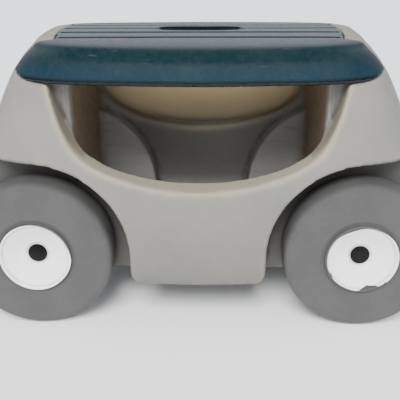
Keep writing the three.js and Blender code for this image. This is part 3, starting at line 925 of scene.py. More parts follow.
@dataclass(frozen=True)
class WheelPlastic:
    """Matt grey plastic of the wheels, with white paint in the hub, painted shadow rings round the
    hub and the cap, painted shade on the back and painted light on the tyre's shoulder.
    """

    paint: HubPaint
    base: Colour = tint(67, 67, 66)
    scuffed_and_lit: Colour = tint(90, 90, 89)
    dirt_and_shade: Colour = tint(43, 42, 41)
    white: Colour = tint(238, 238, 236)
    roughness: float = 0.62
    paint_roughness: float = 0.42
    paint_height: float = 1.2
    dish_floor: float = 0.02
    grain_depth: float = 0.00012

    def build(self) -> bpy.types.Material:
        """Lay out the material."""
        material, bench, shader = _open_material(f"wheel_plastic_{self.paint.name}")
        own = bench.attribute("hub_place", "Vector")
        mottle = Effect.MOTTLE.use(bench, Vector=own, Scale=24.0)
        soil_and_shade = Effect.SOIL.use(bench, Vector=own, Hollow=bench.attribute("hollow"), Scale=80.0)
        grain = Effect.GRAIN.use(bench, Vector=own, Scale=900.0, Waves=50.0)
        # painted shadow rings and shade from the hollow mask, painted light on the tyre's shoulder
        colour = bench.coats(
            self.base, (mottle["Mask"], 0.18, self.scuffed_and_lit), (mottle["Fine"], 0.12, self.dirt_and_shade),
            (soil_and_shade["Mask"], 0.5, self.dirt_and_shade), (soil_and_shade["Worn"], 0.3, self.scuffed_and_lit),
        )
        # soiling and painted shade on the white paint, round the bead
        dust_and_shade = bench.blend(soil_and_shade["Mask"], 0.45, bench.times(mottle["Fine"], 0.05))
        painted = self._painted(bench, own)
        colour = bench.mix(painted, colour, bench.mix(dust_and_shade, self.white, self.dirt_and_shade))
        rough = bench.span(painted, 0.0, 1.0, self.roughness, self.paint_roughness)
        height = bench.times(grain["Height"], bench.span(painted, 0.0, 1.0, 1.0, 0.35))
        height = bench.blend(painted, self.paint_height, height)
        bench.dress(shader, colour, rough, height, 0.7, self.grain_depth)
        return material

    def _painted(self, bench: Bench, own: bpy.types.NodeSocket) -> bpy.types.NodeSocket:
        """Where the paint still is.

        Args:
            bench: Where the nodes go.
            own: Place on the wheel, with its hub at the origin and Y pointing out.

        Returns:
            1 on the paint, 0 off it.
        """
        parts, scale = bench.parts(own), 20.0
        turn = bench.math("ARCTAN2", parts[2], parts[0])
        drawn = bench.node("ShaderNodeFloatCurve", {"Value": bench.blend(turn, 0.5 / math.pi, 0.5)})
        curve = drawn.mapping.curves[0]
        first, *others = [((turn + 180) / 360, reach * scale) for turn, reach in self.paint.edge]
        for (x, y), point in zip((first, (1.0, first[1])), curve.points):
            point.location = (x, y)
            point.handle_type = "VECTOR"
        for x, y in others:
            curve.points.new(x, y).handle_type = "VECTOR"
        drawn.mapping.update()
        wobble = bench.math("SUBTRACT", bench.noise(own, 420.0, 4.0, 0.65), 0.5)
        edge = bench.blend(wobble, 0.0004, bench.math("DIVIDE", drawn.outputs[0], scale))
        square = bench.blend(parts[0], parts[0], bench.times(parts[2], parts[2]))
        within = bench.math("SUBTRACT", edge, bench.math("SQRT", square))
        outer = bench.math("GREATER_THAN", parts[1], self.dish_floor)
        return bench.times(bench.span(within, -0.00012, 0.00012), outer)


@dataclass(frozen=True)
class PlainFinish:
    """A small fitting's finish: a metal or a plain plastic, lightly marked."""

    name: str
    base: Colour
    marked: Colour
    metallic: float
    roughness: float
    grain_depth: float = 0.00003
    gloss: float = 0.5

    def build(self) -> bpy.types.Material:
        """Lay out the material."""
        material, bench, shader = _open_material(self.name)
        place = bench.place()
        mottle = Effect.MOTTLE.use(bench, Vector=place, Scale=70.0)
        marks = Effect.SCRATCHES.use(bench, Vector=place, Density=0.6)
        grain = Effect.GRAIN.use(bench, Vector=place, Scale=2200.0, Waves=150.0)
        worn, scratched = (mottle["Mask"], 0.35, self.marked), (marks["Mask"], 0.5, self.marked)
        colour = bench.coats(self.base, worn, scratched)
        rough = bench.span(mottle["Fine"], 0.0, 1.0, self.roughness - 0.05, self.roughness + 0.12)
        bench.dress(shader, colour, rough, grain["Height"], 0.5, self.grain_depth)
        shader.inputs["Metallic"].default_value = self.metallic
        shader.inputs["Specular IOR Level"].default_value = self.gloss
        return material


# ---- The moulded body ----


SKIN_SHARES = (
    (0.000, 0.902, 0.915, 4.2), (0.010, 0.931, 0.955, 4.4), (0.032, 0.953, 0.984, 4.5),
    (0.080, 0.970, 0.996, 4.5), (0.260, 0.992, 1.000, 4.5), (0.440, 1.000, 1.000, 4.5),
    (0.545, 1.000, 0.999, 4.5), (0.595, 0.991, 0.992, 4.45), (0.645, 0.971, 0.968, 4.35),
    (0.711, 0.941, 0.930, 4.2), (0.778, 0.911, 0.886, 4.0), (0.841, 0.878, 0.845, 3.8),
    (0.890, 0.842, 0.811, 3.65), (0.925, 0.812, 0.780, 3.6), (0.946, 0.790, 0.746, 3.65),
    (0.963, 0.770, 0.702, 3.75), (0.9775, 0.756, 0.640, 4.2), (0.9875, 0.742, 0.520, 4.8),
    (0.9945, 0.724, 0.345, 5.4), (1.000, 0.680, 0.110, 5.6),
)
BAY_SHARES = (
    (0.000, 0.950, 0.890, 7), (0.028, 0.980, 0.955, 9), (0.090, 0.990, 0.990, 10),
    (0.300, 1.000, 1.000, 10), (0.570, 1.000, 1.000, 10), (0.760, 1.000, 0.915, 10),
    (0.880, 1.000, 0.850, 10), (1.000, 1.000, 0.790, 10),
)


def squared_oval(half_length: float, half_width: float, squareness: float, turn: float) -> Vector:
    """A point of a squared-off oval.

    Args:
        half_length: Half its size along X.
        half_width: Half its size along Y.
        squareness: 2 for an ellipse, more for squarer corners.
        turn: Which point, as an angle.

    Returns:
        The point, at height 0.
    """
    c, s = math.cos(turn), math.sin(turn)
    reach = (abs(c) ** squareness + abs(s) ** squareness) ** (-1 / squareness)
    return Vector((half_length * c * reach, half_width * s * reach, 0.0))


def oval_level(half: tuple[float, float], squareness: float, z: float) -> Level:
    """A squared oval at a height, as a level."""
    def place(turn: float) -> Vector:
        """Where it is at a turn."""
        return squared_oval(*half, squareness, turn) + Vector((0, 0, z))
    return place


@dataclass(frozen=True)
class Skin:
    """Outer form that the tub and the lid share, level by level."""

    half_length: float = 0.246
    half_width: float = 0.1425
    underside: float = UNDERSIDE
    ridge: float = 0.3179
    belly_bulge: float = 0.005
    belly_half_span: float = 0.112

    def shares_at(self, height: float) -> tuple[float, float, float]:
        """Length share, width share and squareness at a height."""
        table = FILLED_SKIN
        share = (height - self.underside) / (self.ridge - self.underside)
        return tuple(float(np.interp(share, table[:, 0], table[:, k])) for k in (1, 2, 3))

    def belly(self, x: float) -> float:
        """Outward swell of the long walls, greatest midway along."""
        if abs(x) >= self.belly_half_span:
            return 0.0
        return self.belly_bulge * math.cos(math.pi * x / (2 * self.belly_half_span)) ** 2

    def level(self, height: float, stand_out: float = 0.0) -> Level:
        """The skin's outline at a height.

        Args:
            height: Where it is taken.
            stand_out: How far it stands out from the skin.

        Returns:
            The outline, as places by turn.
        """
        length, width, squareness = self.shares_at(height)
        half_length = self.half_length * length + stand_out
        half_width = self.half_width * width + stand_out

        def place(turn: float) -> Vector:
            """Where the outline is at a turn."""
            point = squared_oval(half_length, half_width, squareness, turn)
            point.y += self.belly(point.x) * width * point.y / half_width
            point.z = height
            return point

        return place

    def heights(self, low: float, high: float) -> list[float]:
        """The filled table's heights between two others, with both ends."""
        rows = self.underside + FILLED_SKIN[:, 0] * (self.ridge - self.underside)
        inner = [float(z) for z in rows if low + 1e-5 < z < high - 1e-5]
        return [low, *inner, high]

    def seat_height(self, y: float) -> float:
        """Height of the crowned seat at a distance from its middle line."""
        upper = FILLED_SKIN[FILLED_SKIN[:, 0] > 0.6]
        share = float(np.interp(abs(y) / self.half_width, upper[::-1, 2], upper[::-1, 0]))
        return self.underside + share * (self.ridge - self.underside)


FILLED_SKIN = smooth_rows(SKIN_SHARES, 6)
FILLED_BAY = smooth_rows(BAY_SHARES, 6)


@dataclass(frozen=True)
class LidFit:
    """Where the lid and the tub part: rebate, end rails and ears."""

    deck: float = 0.296
    skirt: float = 0.275
    stand_out: float = 0.003
    rebate_depth: float = 0.008
    lid_gap: float = 0.0004
    deck_gap: float = 0.0003
    seam_gap: float = 0.001
    skirt_edge_radius: float = 0.0048
    slat_half_length: float = 0.160
    seam_bow: float = 0.005
    rail_half_width: float = RAIL_HALF_WIDTH
    ear_top: float = 0.314
    ear_tip: float = 0.2815
    ear_tip_half_width: float = 0.065
    ear_tip_radius: float = 0.006
    ear_root_half_width: float = 0.106
    ear_slope_share: float = 0.6

    def slat_end(self, y: float) -> float:
        """Where the slats end at a distance from the middle line."""
        return self.slat_half_length + self.seam_bow * (1 - (y / self.rail_half_width) ** 2)

    def end_plan(self, gap: float) -> bmesh.types.BMesh:
        """The end rail between the ears, seen from above, at both ends."""
        half = self.rail_half_width + gap
        shares = [-1 + i / 8 for i in range(17)]
        outline = [(self.slat_end(s * self.rail_half_width) - gap, s * half) for s in shares]
        outline += [(FAR, half), (FAR, -half)]
        return mirrored(prism(outline, Axis.Z, self.skirt - OVERRUN, FAR), "X")

    def end_flare(self, gap: float) -> bmesh.types.BMesh:
        """The long slope below the ears' tips, seen from the end, at both ends."""
        half = self.rail_half_width + gap
        tip, root = self.ear_tip_half_width + gap, self.ear_root_half_width + gap
        low, high = self.skirt - self.seam_gap + gap, self.ear_tip + gap
        slope = ((root + tip) / 2, low + (high - low) * self.ear_slope_share)
        side = [(root, low - OVERRUN), (root, low)]
        side += curve_to((root, low), slope, (tip + self.ear_tip_radius, high), 12)
        side += curve_to(
            (tip + self.ear_tip_radius, high), (tip, high), (tip, high + self.ear_tip_radius), 6
        )
        side.append((half, self.ear_top))
        outline = side + [(-y, z) for y, z in reversed(side)]
        start = self.slat_half_length + self.seam_bow - gap
        return mirrored(prism(outline, Axis.X, start, FAR), "X")

    def core(self, skin: Skin, grown: float, top: float) -> bmesh.types.BMesh:
        """Core of the tub that the lid fits over."""
        heights = skin.heights(self.skirt - self.skirt_edge_radius, top)
        return loft([skin.level(z, grown - self.rebate_depth) for z in heights], CORE_FACETS)


@dataclass(frozen=True)
class WheelWell:
    """Wheel arch about the axle, seen from the side."""

    axle_x: float = AXLE_X
    axle_z: float = WHEEL_RADIUS
    radius: float = 0.105
    lip: float = 0.013
    foot: float = UNDERSIDE
    inner_plane: float = WELL_PLANE
    wall: float = 0.012

    def arch(self, radius: float, lip: float, low: float) -> list[tuple[float, float]]:
        """Outline of the arch at the front end.

        Args:
            radius: Its roof's radius.
            lip: How far its inner side flares at the bottom.
            low: Where it ends below.

        Returns:
            Corners in X and Z.
        """
        inner, foot, steps = self.axle_x - radius, self.foot, 32
        outline = [(inner - lip, low), (inner - lip, foot)]
        if lip > 0:
            outline += curve_to((inner - lip, foot), (inner, foot), (inner, foot + 2 * lip), 8)
        for i in range(steps + 1):
            c, s = math.cos(i * math.pi / 2 / steps), math.sin(i * math.pi / 2 / steps)
            outline.append((self.axle_x - radius * c, self.axle_z + radius * s))
        outline += [(FAR, self.axle_z + radius), (FAR, low)]
        return outline

    def hollow(self) -> bmesh.types.BMesh:
        """Space for all four wheels."""
        outline = self.arch(self.radius, self.lip, 0.0)
        return mirrored(prism(outline, Axis.Y, self.inner_plane, FAR), "XY")

    def housing(self) -> bmesh.types.BMesh:
        """The wells with their inner walls, which stand in the bay."""
        outline = self.arch(self.radius + self.wall, 0.0, 0.0)
        return mirrored(prism(outline, Axis.Y, self.inner_plane - self.wall, FAR), "XY")


@dataclass(frozen=True)
class SideOpening:
    """Smile-shaped opening in the right wall, closed by a thin web in the left one."""

    sill: float = 0.1655
    knee_z: float = 0.213
    knee_x: float = 0.137
    knee_radius: float = 0.011
    top_x: float = 0.168
    jamb_thickness: float = 0.028
    jamb_rounding: float = 0.014
    bay_half_length: float = BAY_HALF_LENGTH
    bay_floor: float = BAY_FLOOR
    inner_plane: float = 0.067
    web: float = 0.004

    def half_outline(self, deck: float) -> list[tuple[float, float]]:
        """Sill, knee and jamb from the middle to the front, in X and Z."""
        a = Vector((0, self.sill))
        b = Vector((self.knee_x * 0.44, self.sill))
        c = Vector((self.knee_x * 0.79, self.sill + (self.knee_z - self.sill) * 0.39))
        d = Vector((self.knee_x - self.knee_radius, self.knee_z - self.knee_radius))
        points = []
        for t in np.arange(1, 25) / 24:
            p = a * (1 - t) ** 3 + b * 3 * t * (1 - t) ** 2 + c * 3 * t * t * (1 - t) + d * t**3
            points.append((p.x, p.y))
        lean = (self.knee_x + self.knee_radius * 0.4, self.knee_z + self.knee_radius)
        points += curve_to(points[-1], (self.knee_x, self.knee_z), lean, 6)
        bend = (
            self.knee_x + (self.top_x - self.knee_x) * 0.4,
            self.knee_z + (deck - self.knee_z) * 0.28,
        )
        return points + curve_to(lean, bend, (self.top_x, deck), 16)

    def through(self, side_y: int, deck: float, layer: float) -> Workpiece:
        """What is cut from one long wall, splayed in plan.

        Args:
            side_y: 1 for the left wall, -1 for the right one.
            deck: Height of the tub's deck.
            layer: Distance from the middle where the wall's outer layer starts.

        Returns:
            The cut.
        """
        half = self.half_outline(deck) + [(self.top_x, deck + OVERRUN)]
        outline = [(-x, z) for x, z in reversed(half)] + [(0.0, self.sill)] + half
        bay, turn = self.bay_half_length, self.jamb_rounding
        quarter = [(bay, layer - turn)]
        quarter += curve_to((bay, layer - turn), (bay, layer), (bay + turn, layer), 10)
        quarter += [(FAR, layer), (FAR, FAR)]
        right = [(x, -y) for x, y in reversed(quarter)]
        front = right + quarter
        plan = front + [(-x, y) for x, y in reversed(front)]
        low, high = sorted((side_y * self.inner_plane, side_y * FAR))
        cut = Workpiece("opening", prism(outline, Axis.Y, low, high))
        return cut.combine("INTERSECT", prism(plan, Axis.Z, self.bay_floor, FAR))

    def depth_in(self, co: np.ndarray, deck: float) -> np.ndarray:
        """How far above the sill's and jambs' line each of some places lies, in metres."""
        line = np.array([(0.0, self.sill), *self.half_outline(deck)], float)
        return co[:, 2] - np.interp(np.abs(co[:, 0]), line[:, 0], line[:, 1], right=1.0)


@dataclass(frozen=True)
class TubFades:
    """Bands over which the tub's marks rise from none to full, limits to them, and shares.

    Bands named wall are distances from the middle plane, those named level are heights, and
    the rest are distances from the edge that a mark follows.
    """

    edge: Band = (0.0128, 0.0048)
    housing: Band = (0.0192, 0.0072)
    rim_wall: Band = (0.122, 0.130)
    arch_wall: Band = (0.120, 0.130)
    end_light_wall: Band = (0.118, 0.098)
    end_light_reach: Band = (0.128, 0.140)
    end_light_side: Band = (-0.088, -0.068)
    bay_wall: Band = (0.110, 0.104)
    well_wall: Band = (0.140, 0.126)
    well_edge: Band = (-0.004, -0.001)
    well_level: Band = (0.06, 0.12)
    jamb_wall: Band = (0.132, 0.124)
    jamb_edge: Band = (-0.004, 0.0)
    low_level: Band = (0.18, 0.06)
    web_edge: Band = (-0.003, -0.001)
    web_rise: Band = (0.0, 0.045)
    below_skirt: float = 0.006
    housing_low: float = 0.12
    housing_margin: float = 0.003
    bay_low: float = 0.07
    bay_high: float = 0.3
    bay_end: float = 0.146
    end_reach: float = 0.15
    inner_wall: float = 0.090
    jamb_low: float = 0.2
    jamb_high: float = 0.29
    sill_width: float = 0.0045
    sill_plane: float = -0.104
    lip_width: float = 0.006
    lip_plane: float = 0.1375
    web_plane: float = 0.106
    arch_share: float = 0.8
    sill_share: float = 0.7
    below_share: float = 0.8
    jamb_share: float = 0.45
    low_share: float = 0.42
    lip_share: float = 0.9


@dataclass
class Tub:
    """Moulded tub: skin, bay, side opening and web, wheel wells, ledges and bores."""

    skin: Skin
    fit: LidFit
    well: WheelWell
    opening: SideOpening
    fades: TubFades = TubFades()
    floor: float = BAY_FLOOR
    wall: float = 0.031
    bay_half_length: float = BAY_HALF_LENGTH
    bore_radius: float = AXLE_BORE
    ledge_depth: float = 0.022
    ledge_half_width: float = RAIL_HALF_WIDTH
    ledge_height: float = 0.009
    screw_y: float = 0.042
    screw_hole: float = 0.00245
    screw_reach: float = 0.05
    bay_overlap: float = 0.002
    web_overlap: float = 0.001
    voxel: float = 0.0030
    ease_rounds: int = 4
    edge_rounds: int = 8
    housing_rounds: int = 30

    def build(self, finish: StonePlastic) -> bpy.types.Object:
        """Make the tub.

        Args:
            finish: Its plastic.

        Returns:
            The finished piece.
        """
        heights = self.skin.heights(self.skin.underside, self.skin.ridge)
        piece = Workpiece("tub_moulding", loft([self.skin.level(z) for z in heights], BODY_FACETS))
        piece.cut(self._lid_space(), self._bay(), self.well.hollow())
        layer = self.skin.half_width * self.skin.shares_at(self.fit.skirt)[1]
        layer -= self.opening.jamb_thickness
        piece.cut(self.opening.through(-1, self.fit.deck, layer).to_bmesh(), self._recess(layer))
        piece.remesh(self.voxel)
        piece.ease(self.ease_rounds)
        piece.ease(self.edge_rounds, self._outer_edges(piece.read()))
        piece.ease(self.housing_rounds, self._near_housings(piece.read()))
        piece.cut(*self._bores())
        places = piece.read()
        thin = self._thinness(places) * ramp(piece.read("normal")[:, 1], 0.5, 0.0)
        piece.mark("thin", thin)
        piece.mark("hollow", piece.hollowness(3) * (1 - np.clip(3 * thin, 0, 1)))
        piece.mark("sill_warmth_and_end_light", self._stain(places))
        piece.mark("within", self._within(places))
        piece.mark("painted_shade_and_low_dark", self._grime(places))
        made = piece.finish(finish.build(), Body.TUB.value, "tub_plastic")
        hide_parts("tub_body")
        return made

    def _lid_space(self) -> bmesh.types.BMesh:
        """What the lid takes from the skin."""
        low = self.fit.skirt - self.fit.seam_gap
        outline = [(-FAR, -FAR), (FAR, -FAR), (FAR, FAR), (-FAR, FAR)]
        space = Workpiece("lid_space", prism(outline, Axis.Z, low, FAR))
        space.cut(self.fit.end_plan(0.0), self.fit.end_flare(0.0))
        space.cut(self.fit.core(self.skin, 0.0, self.fit.deck))
        return space.to_bmesh()

    def _bay(self) -> bmesh.types.BMesh:
        """The tool bay between the end blocks, round the wheel housings."""
        levels = []
        for share, length, width, squareness in FILLED_BAY:
            z = self.floor + share * (self.fit.deck + self.bay_overlap - self.floor)
            half = (self.bay_half_length * length, (self.skin.half_width - self.wall) * width)
            levels.append(oval_level(half, squareness, z))
        bay = Workpiece("bay", loft(levels, CORE_FACETS))
        edge, half = self.bay_half_length - self.ledge_depth, self.ledge_half_width
        outline = [(edge, -half), (FAR, -half), (FAR, half), (edge, half)]
        ledges = mirrored(prism(outline, Axis.Z, self.fit.deck - self.ledge_height, FAR), "X")
        return bay.cut(self.well.housing(), ledges).to_bmesh()

    def _recess(self, layer: float) -> bmesh.types.BMesh:
        """The opening's shape sunk into the left wall as far as its thin web.

        Args:
            layer: Distance from the middle where the wall's outer layer starts.

        Returns:
            The cut, which steps in under the lid's skirt.
        """
        web, fit = self.opening.web, self.fit
        heights = self.skin.heights(self.floor, fit.skirt - fit.seam_gap - web)
        levels = [self.skin.level(z, -web) for z in heights]
        core = Workpiece("web_core", loft(levels, BODY_FACETS))
        core.combine("UNION", fit.core(self.skin, -web, fit.deck + self.web_overlap))
        recess = self.opening.through(1, fit.deck, layer)
        return recess.combine("INTERSECT", core.to_bmesh()).to_bmesh()

    def _bores(self) -> list[bmesh.types.BMesh]:
        """Bores for both axles and holes for the lid's screws."""
        centre = Vector((self.well.axle_x, 0, self.well.axle_z))
        screw = Vector((self.bay_half_length - self.ledge_depth / 2, self.screw_y, self.fit.deck))
        return [
            mirrored(bar(self.bore_radius, Axis.Y, centre, 2 * FAR, AXLE_FACETS), "X"),
            mirrored(bar(self.screw_hole, Axis.Z, screw, self.screw_reach, HOLE_FACETS), "XY"),
        ]

    def _off_rim(self, co: np.ndarray) -> np.ndarray:
        """How far each corner of the mesh is from the opening's outline, seen from the side."""
        outline = [(0.0, self.opening.sill), *self.opening.half_outline(self.fit.deck)]
        points = np.stack([np.abs(co[:, 0]), co[:, 2]], axis=1).astype(float)
        near = np.full(len(co), 1.0)
        for start, end in zip(np.array(outline[:-1]), np.array(outline[1:])):
            run, reach = end - start, points - start
            off = reach - np.clip(reach @ run / (run @ run), 0, 1)[:, None] * run
            near = np.minimum(near, np.hypot(off[:, 0], off[:, 1]))
        return near

    def _in_well(self, co: np.ndarray) -> np.ndarray:
        """How far each corner of the mesh is inside a wheel well's arch, seen from the side."""
        x, z = np.abs(co[:, 0]), co[:, 2]
        inside = self.well.radius - np.hypot(x - self.well.axle_x, z - self.well.axle_z)
        inside = np.where(x > self.well.axle_x, self.well.axle_z + self.well.radius - z, inside)
        beside = x - self.well.axle_x + self.well.radius + self.well.lip
        return np.where(z < self.well.axle_z, np.maximum(inside, beside), inside)

    def _outer_edges(self, co: np.ndarray) -> np.ndarray:
        """How strongly each corner of the mesh is eased for the broad outer edges."""
        x, y, z = np.abs(co[:, 0]), np.abs(co[:, 1]), co[:, 2]
        well, fades = self.well, self.fades
        opening = ramp(self._off_rim(co), *fades.edge) * ramp(y, *fades.rim_wall)
        round_off = np.abs(np.hypot(x - well.axle_x, z - well.axle_z) - well.radius)
        roof_off = np.abs(z - well.axle_z - well.radius)
        side_off = np.abs(x - well.axle_x + well.radius)
        off = np.where(x < well.axle_x, round_off, roof_off)
        off = np.minimum(off, np.where(z < well.axle_z, side_off, 1.0))
        arches = fades.arch_share * ramp(off, *fades.edge) * ramp(y, *fades.arch_wall)
        return np.maximum(opening, arches) * (z < self.fit.skirt - fades.below_skirt)

    def _near_housings(self, co: np.ndarray) -> np.ndarray:
        """How strongly the inner edges of the right-hand wheel housings are eased."""
        x, z, fades = np.abs(co[:, 0]), co[:, 2], self.fades
        radius = np.hypot(x - self.well.axle_x, z - self.well.axle_z)
        off = np.hypot(co[:, 1] + self.well.inner_plane - self.well.wall,
                       radius - self.well.radius - self.well.wall)
        in_bay = (z > fades.housing_low) & (x < self.bay_half_length - fades.housing_margin)
        return ramp(off, *fades.housing) * in_bay

    def _stain(self, co: np.ndarray) -> np.ndarray:
        """How warm the plastic is painted: warmer along the near sill, painted warm light on the
        bay's end walls.
        """
        x, y, z = np.abs(co[:, 0]), np.abs(co[:, 1]), co[:, 2]
        fades = self.fades
        in_bay = (x < fades.end_reach) & (z > fades.bay_low) & (z < fades.bay_high)
        ends = ramp(x, *fades.end_light_reach) * ramp(co[:, 1], *fades.end_light_side)
        ends *= ramp(y, *fades.end_light_wall) * in_bay
        sill = fades.sill_share * ridge(self._off_rim(co), fades.sill_width)
        return np.clip(ends + sill * (co[:, 1] < fades.sill_plane), 0, 1)

    def _within(self, co: np.ndarray) -> np.ndarray:
        """Where the surface is the bay's own, between its end walls, and painted a lighter, lit
        copy of the plastic.
        """
        x, y, z = np.abs(co[:, 0]), np.abs(co[:, 1]), co[:, 2]
        fades = self.fades
        in_bay = (x < fades.bay_end) & (z > fades.bay_low) & (z < self.fit.deck)
        own = (y < fades.inner_wall) | (self._in_well(co) < -0.005)
        return ramp(y, *fades.bay_wall) * in_bay * own * (1 - self._stain(co))

    def _grime(self, co: np.ndarray) -> np.ndarray:
        """How much painted shade lies on the plastic in the wells, below and on the near jambs, and
        how much darker it is low down.
        """
        y, z, fades = np.abs(co[:, 1]), co[:, 2], self.fades
        well = ramp(self._in_well(co), *fades.well_edge) * ramp(y, *fades.well_wall)
        well *= (0.75 + 0.25 * ramp(z, *fades.well_level)) * (y > 0.088)
        below = fades.below_share * (z < self.skin.underside + 0.001)
        near = (co[:, 1] < -fades.inner_wall) & (z > fades.jamb_low) & (z < fades.jamb_high)
        jamb = fades.jamb_share * ramp(y, *fades.jamb_wall) * near
        jamb *= ramp(self.opening.depth_in(co, self.fit.deck), *fades.jamb_edge)
        low = fades.low_share * ramp(z, *fades.low_level)
        return np.clip(well + below + jamb + low, 0, 1)

    def _thinness(self, co: np.ndarray) -> np.ndarray:
        """Where the web is drawn translucent and painted lighter as if glowing, the more the
        further above its sill, and where the far sill's lip is painted lighter as if lit through.
        """
        above, fades = self.opening.depth_in(co, self.fit.deck), self.fades
        share = ramp(above, *fades.web_edge) * (0.35 + 0.65 * ramp(above, *fades.web_rise))
        # the far sill's lip is painted lighter, as if lit through the web
        lip = fades.lip_share * ridge(self._off_rim(co), fades.lip_width)
        lip *= co[:, 1] < fades.lip_plane
        web = (co[:, 1] > fades.web_plane) & (co[:, 2] < self.fit.deck)
        return np.maximum(share, lip) * web


@dataclass
class SeatLid:
    """Seat lid: crowned and slatted, with ears round the tub's corners and a carry slot."""

    skin: Skin
    fit: LidFit
    groove_count: int = 5
    groove_spacing: float = 0.0286
    groove_width: float = 0.005
    groove_depth: float = 0.004
    groove_margin: float = 0.004
    groove_ease: float = 0.0012
    groove_round: float = 0.0012
    groove_flare: float = 0.0008
    groove_overrun: float = 0.004
    slot_length: float = 0.093
    slot_width: float = 0.025
    slot_ease: float = 0.006
    slot_taper: float = 0.008
    voxel: float = 0.0018
    ease_rounds: int = 7
    soft_end: float = 2.4
    square_end: float = 5.0
    crown_step: float = 0.004
    crown_steps: int = 18
    seat_half_width: float = 0.064
    slot_zone: Band = (0.058, 0.021)
    seat_slack: float = 0.0006
    slot_slack: float = 0.0003
    sunken_fade: Band = (0.0, 0.0010)
    rolled_fade: Band = (0.0075, 0.0045)

    def build(self, finish: GreenPlastic) -> bpy.types.Object:
        """Make the lid.

        Args:
            finish: Its plastic.

        Returns:
            The finished piece.
        """
        fit = self.fit
        piece = Workpiece("lid_moulding", loft(self._levels(), LID_FACETS))
        piece.cut(fit.core(self.skin, fit.lid_gap, fit.deck + fit.deck_gap))
        piece.cut(fit.end_plan(fit.seam_gap), fit.end_flare(fit.seam_gap))
        piece.remesh(self.voxel)
        piece.ease(self.ease_rounds)
        for i in range(self.groove_count):
            y = (i - (self.groove_count - 1) / 2) * self.groove_spacing
            piece.cut(self._groove(y))
        piece.cut(self._slot())
        piece.mark("hollow", piece.hollowness(2))
        piece.mark("groove", self._sunken(piece.read()))
        made = piece.finish(finish.build(), Body.TUB.value, "lid_plastic", sharp=50.0)
        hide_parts("seat_lid")
        return made

    def _levels(self) -> list[Level]:
        """Levels of the lid's outside, its lower edge rolled under."""
        radius, top = self.fit.skirt_edge_radius, self.fit.skirt + self.fit.skirt_edge_radius
        levels = []
        for i in range(9):
            turn = math.radians(-80 + 10 * i)
            out = self.fit.stand_out - radius + radius * math.cos(turn)
            levels.append(self.skin.level(top + radius * math.sin(turn), out))
        for z in self.skin.heights(top, self.skin.ridge)[1:]:
            levels.append(self.skin.level(z, self.fit.stand_out))
        return levels

    def _groove(self, y: float) -> bmesh.types.BMesh:
        """One groove between two slats, its upper edges eased.

        Args:
            y: Where it runs.

        Returns:
            The cut.
        """
        top = self.skin.seat_height(y)
        half = self.fit.slat_end(y) - self.groove_margin - self.groove_width / 2
        radius = self.groove_width / 2

        def level(grown: float, z: float) -> Level:
            """The groove's outline, grown by an amount, at a height."""
            def place(turn: float) -> Vector:
                """Where the outline is at a turn."""
                c, s = math.cos(turn), math.sin(turn)
                x = math.copysign(half, c) + (radius + grown) * c
                return Vector((x, y + (radius + grown) * s, z))
            return place

        floor, ease, bed = top - self.groove_depth, self.groove_ease, self.groove_round
        levels = [level(-bed, floor), level(-bed / 4, floor + bed / 3), level(0.0, floor + bed)]
        for i in range(7):
            turn = i * math.pi / 12
            levels.append(level(ease * (1 - math.cos(turn)), top - ease + ease * math.sin(turn)))
        levels.append(level(ease + self.groove_flare, top + self.groove_overrun))
        return loft(levels, GROOVE_FACETS)

    def _sunken(self, co: np.ndarray) -> np.ndarray:
        """Where painted shade goes: down in a groove or the slot, or on the skirt's rolled edge."""
        x, y, z = np.abs(co[:, 0]), np.abs(co[:, 1]), co[:, 2]
        below_seat = np.interp(y, *self._crown()) - z
        on_seat = (x < self.fit.slat_half_length) & (y < self.seat_half_width)
        by_slot = (x < self.slot_zone[0]) & (y < self.slot_zone[1])
        slack = np.where(by_slot, self.slot_slack, self.seat_slack)
        sunken = ramp(below_seat - slack, *self.sunken_fade) * on_seat
        return np.maximum(sunken, ramp(z - self.fit.skirt, *self.rolled_fade))

    def _crown(self) -> tuple[list[float], list[float]]:
        """Heights of the crowned seat from its middle line outwards."""
        places = [i * self.crown_step for i in range(self.crown_steps + 1)]
        return places, [self.skin.seat_height(y) for y in places]

    def _slot(self) -> bmesh.types.BMesh:
        """Carry slot, its mouth rounded over and drawn out to points."""
        half_length, half_width = self.slot_length / 2, self.slot_width / 2
        low, top, ease = self.fit.skirt, self.skin.ridge, self.slot_ease
        levels = [oval_level((half_length, half_width), self.square_end, low)]
        for share in np.arange(9) / 8:
            turn = share * math.pi / 2
            grown = ease * (1 - math.cos(turn))
            half = (half_length + grown * self.slot_taper / ease, half_width + grown)
            squareness = self.square_end + (self.soft_end - self.square_end) * share
            levels.append(oval_level(half, squareness, top - ease + ease * math.sin(turn)))
        mouth = (half_length + self.slot_taper, half_width + ease)
        levels.append(oval_level(mouth, self.soft_end, FAR))
        return loft(levels, SLOT_FACETS)


# ---- Wheels and axles ----


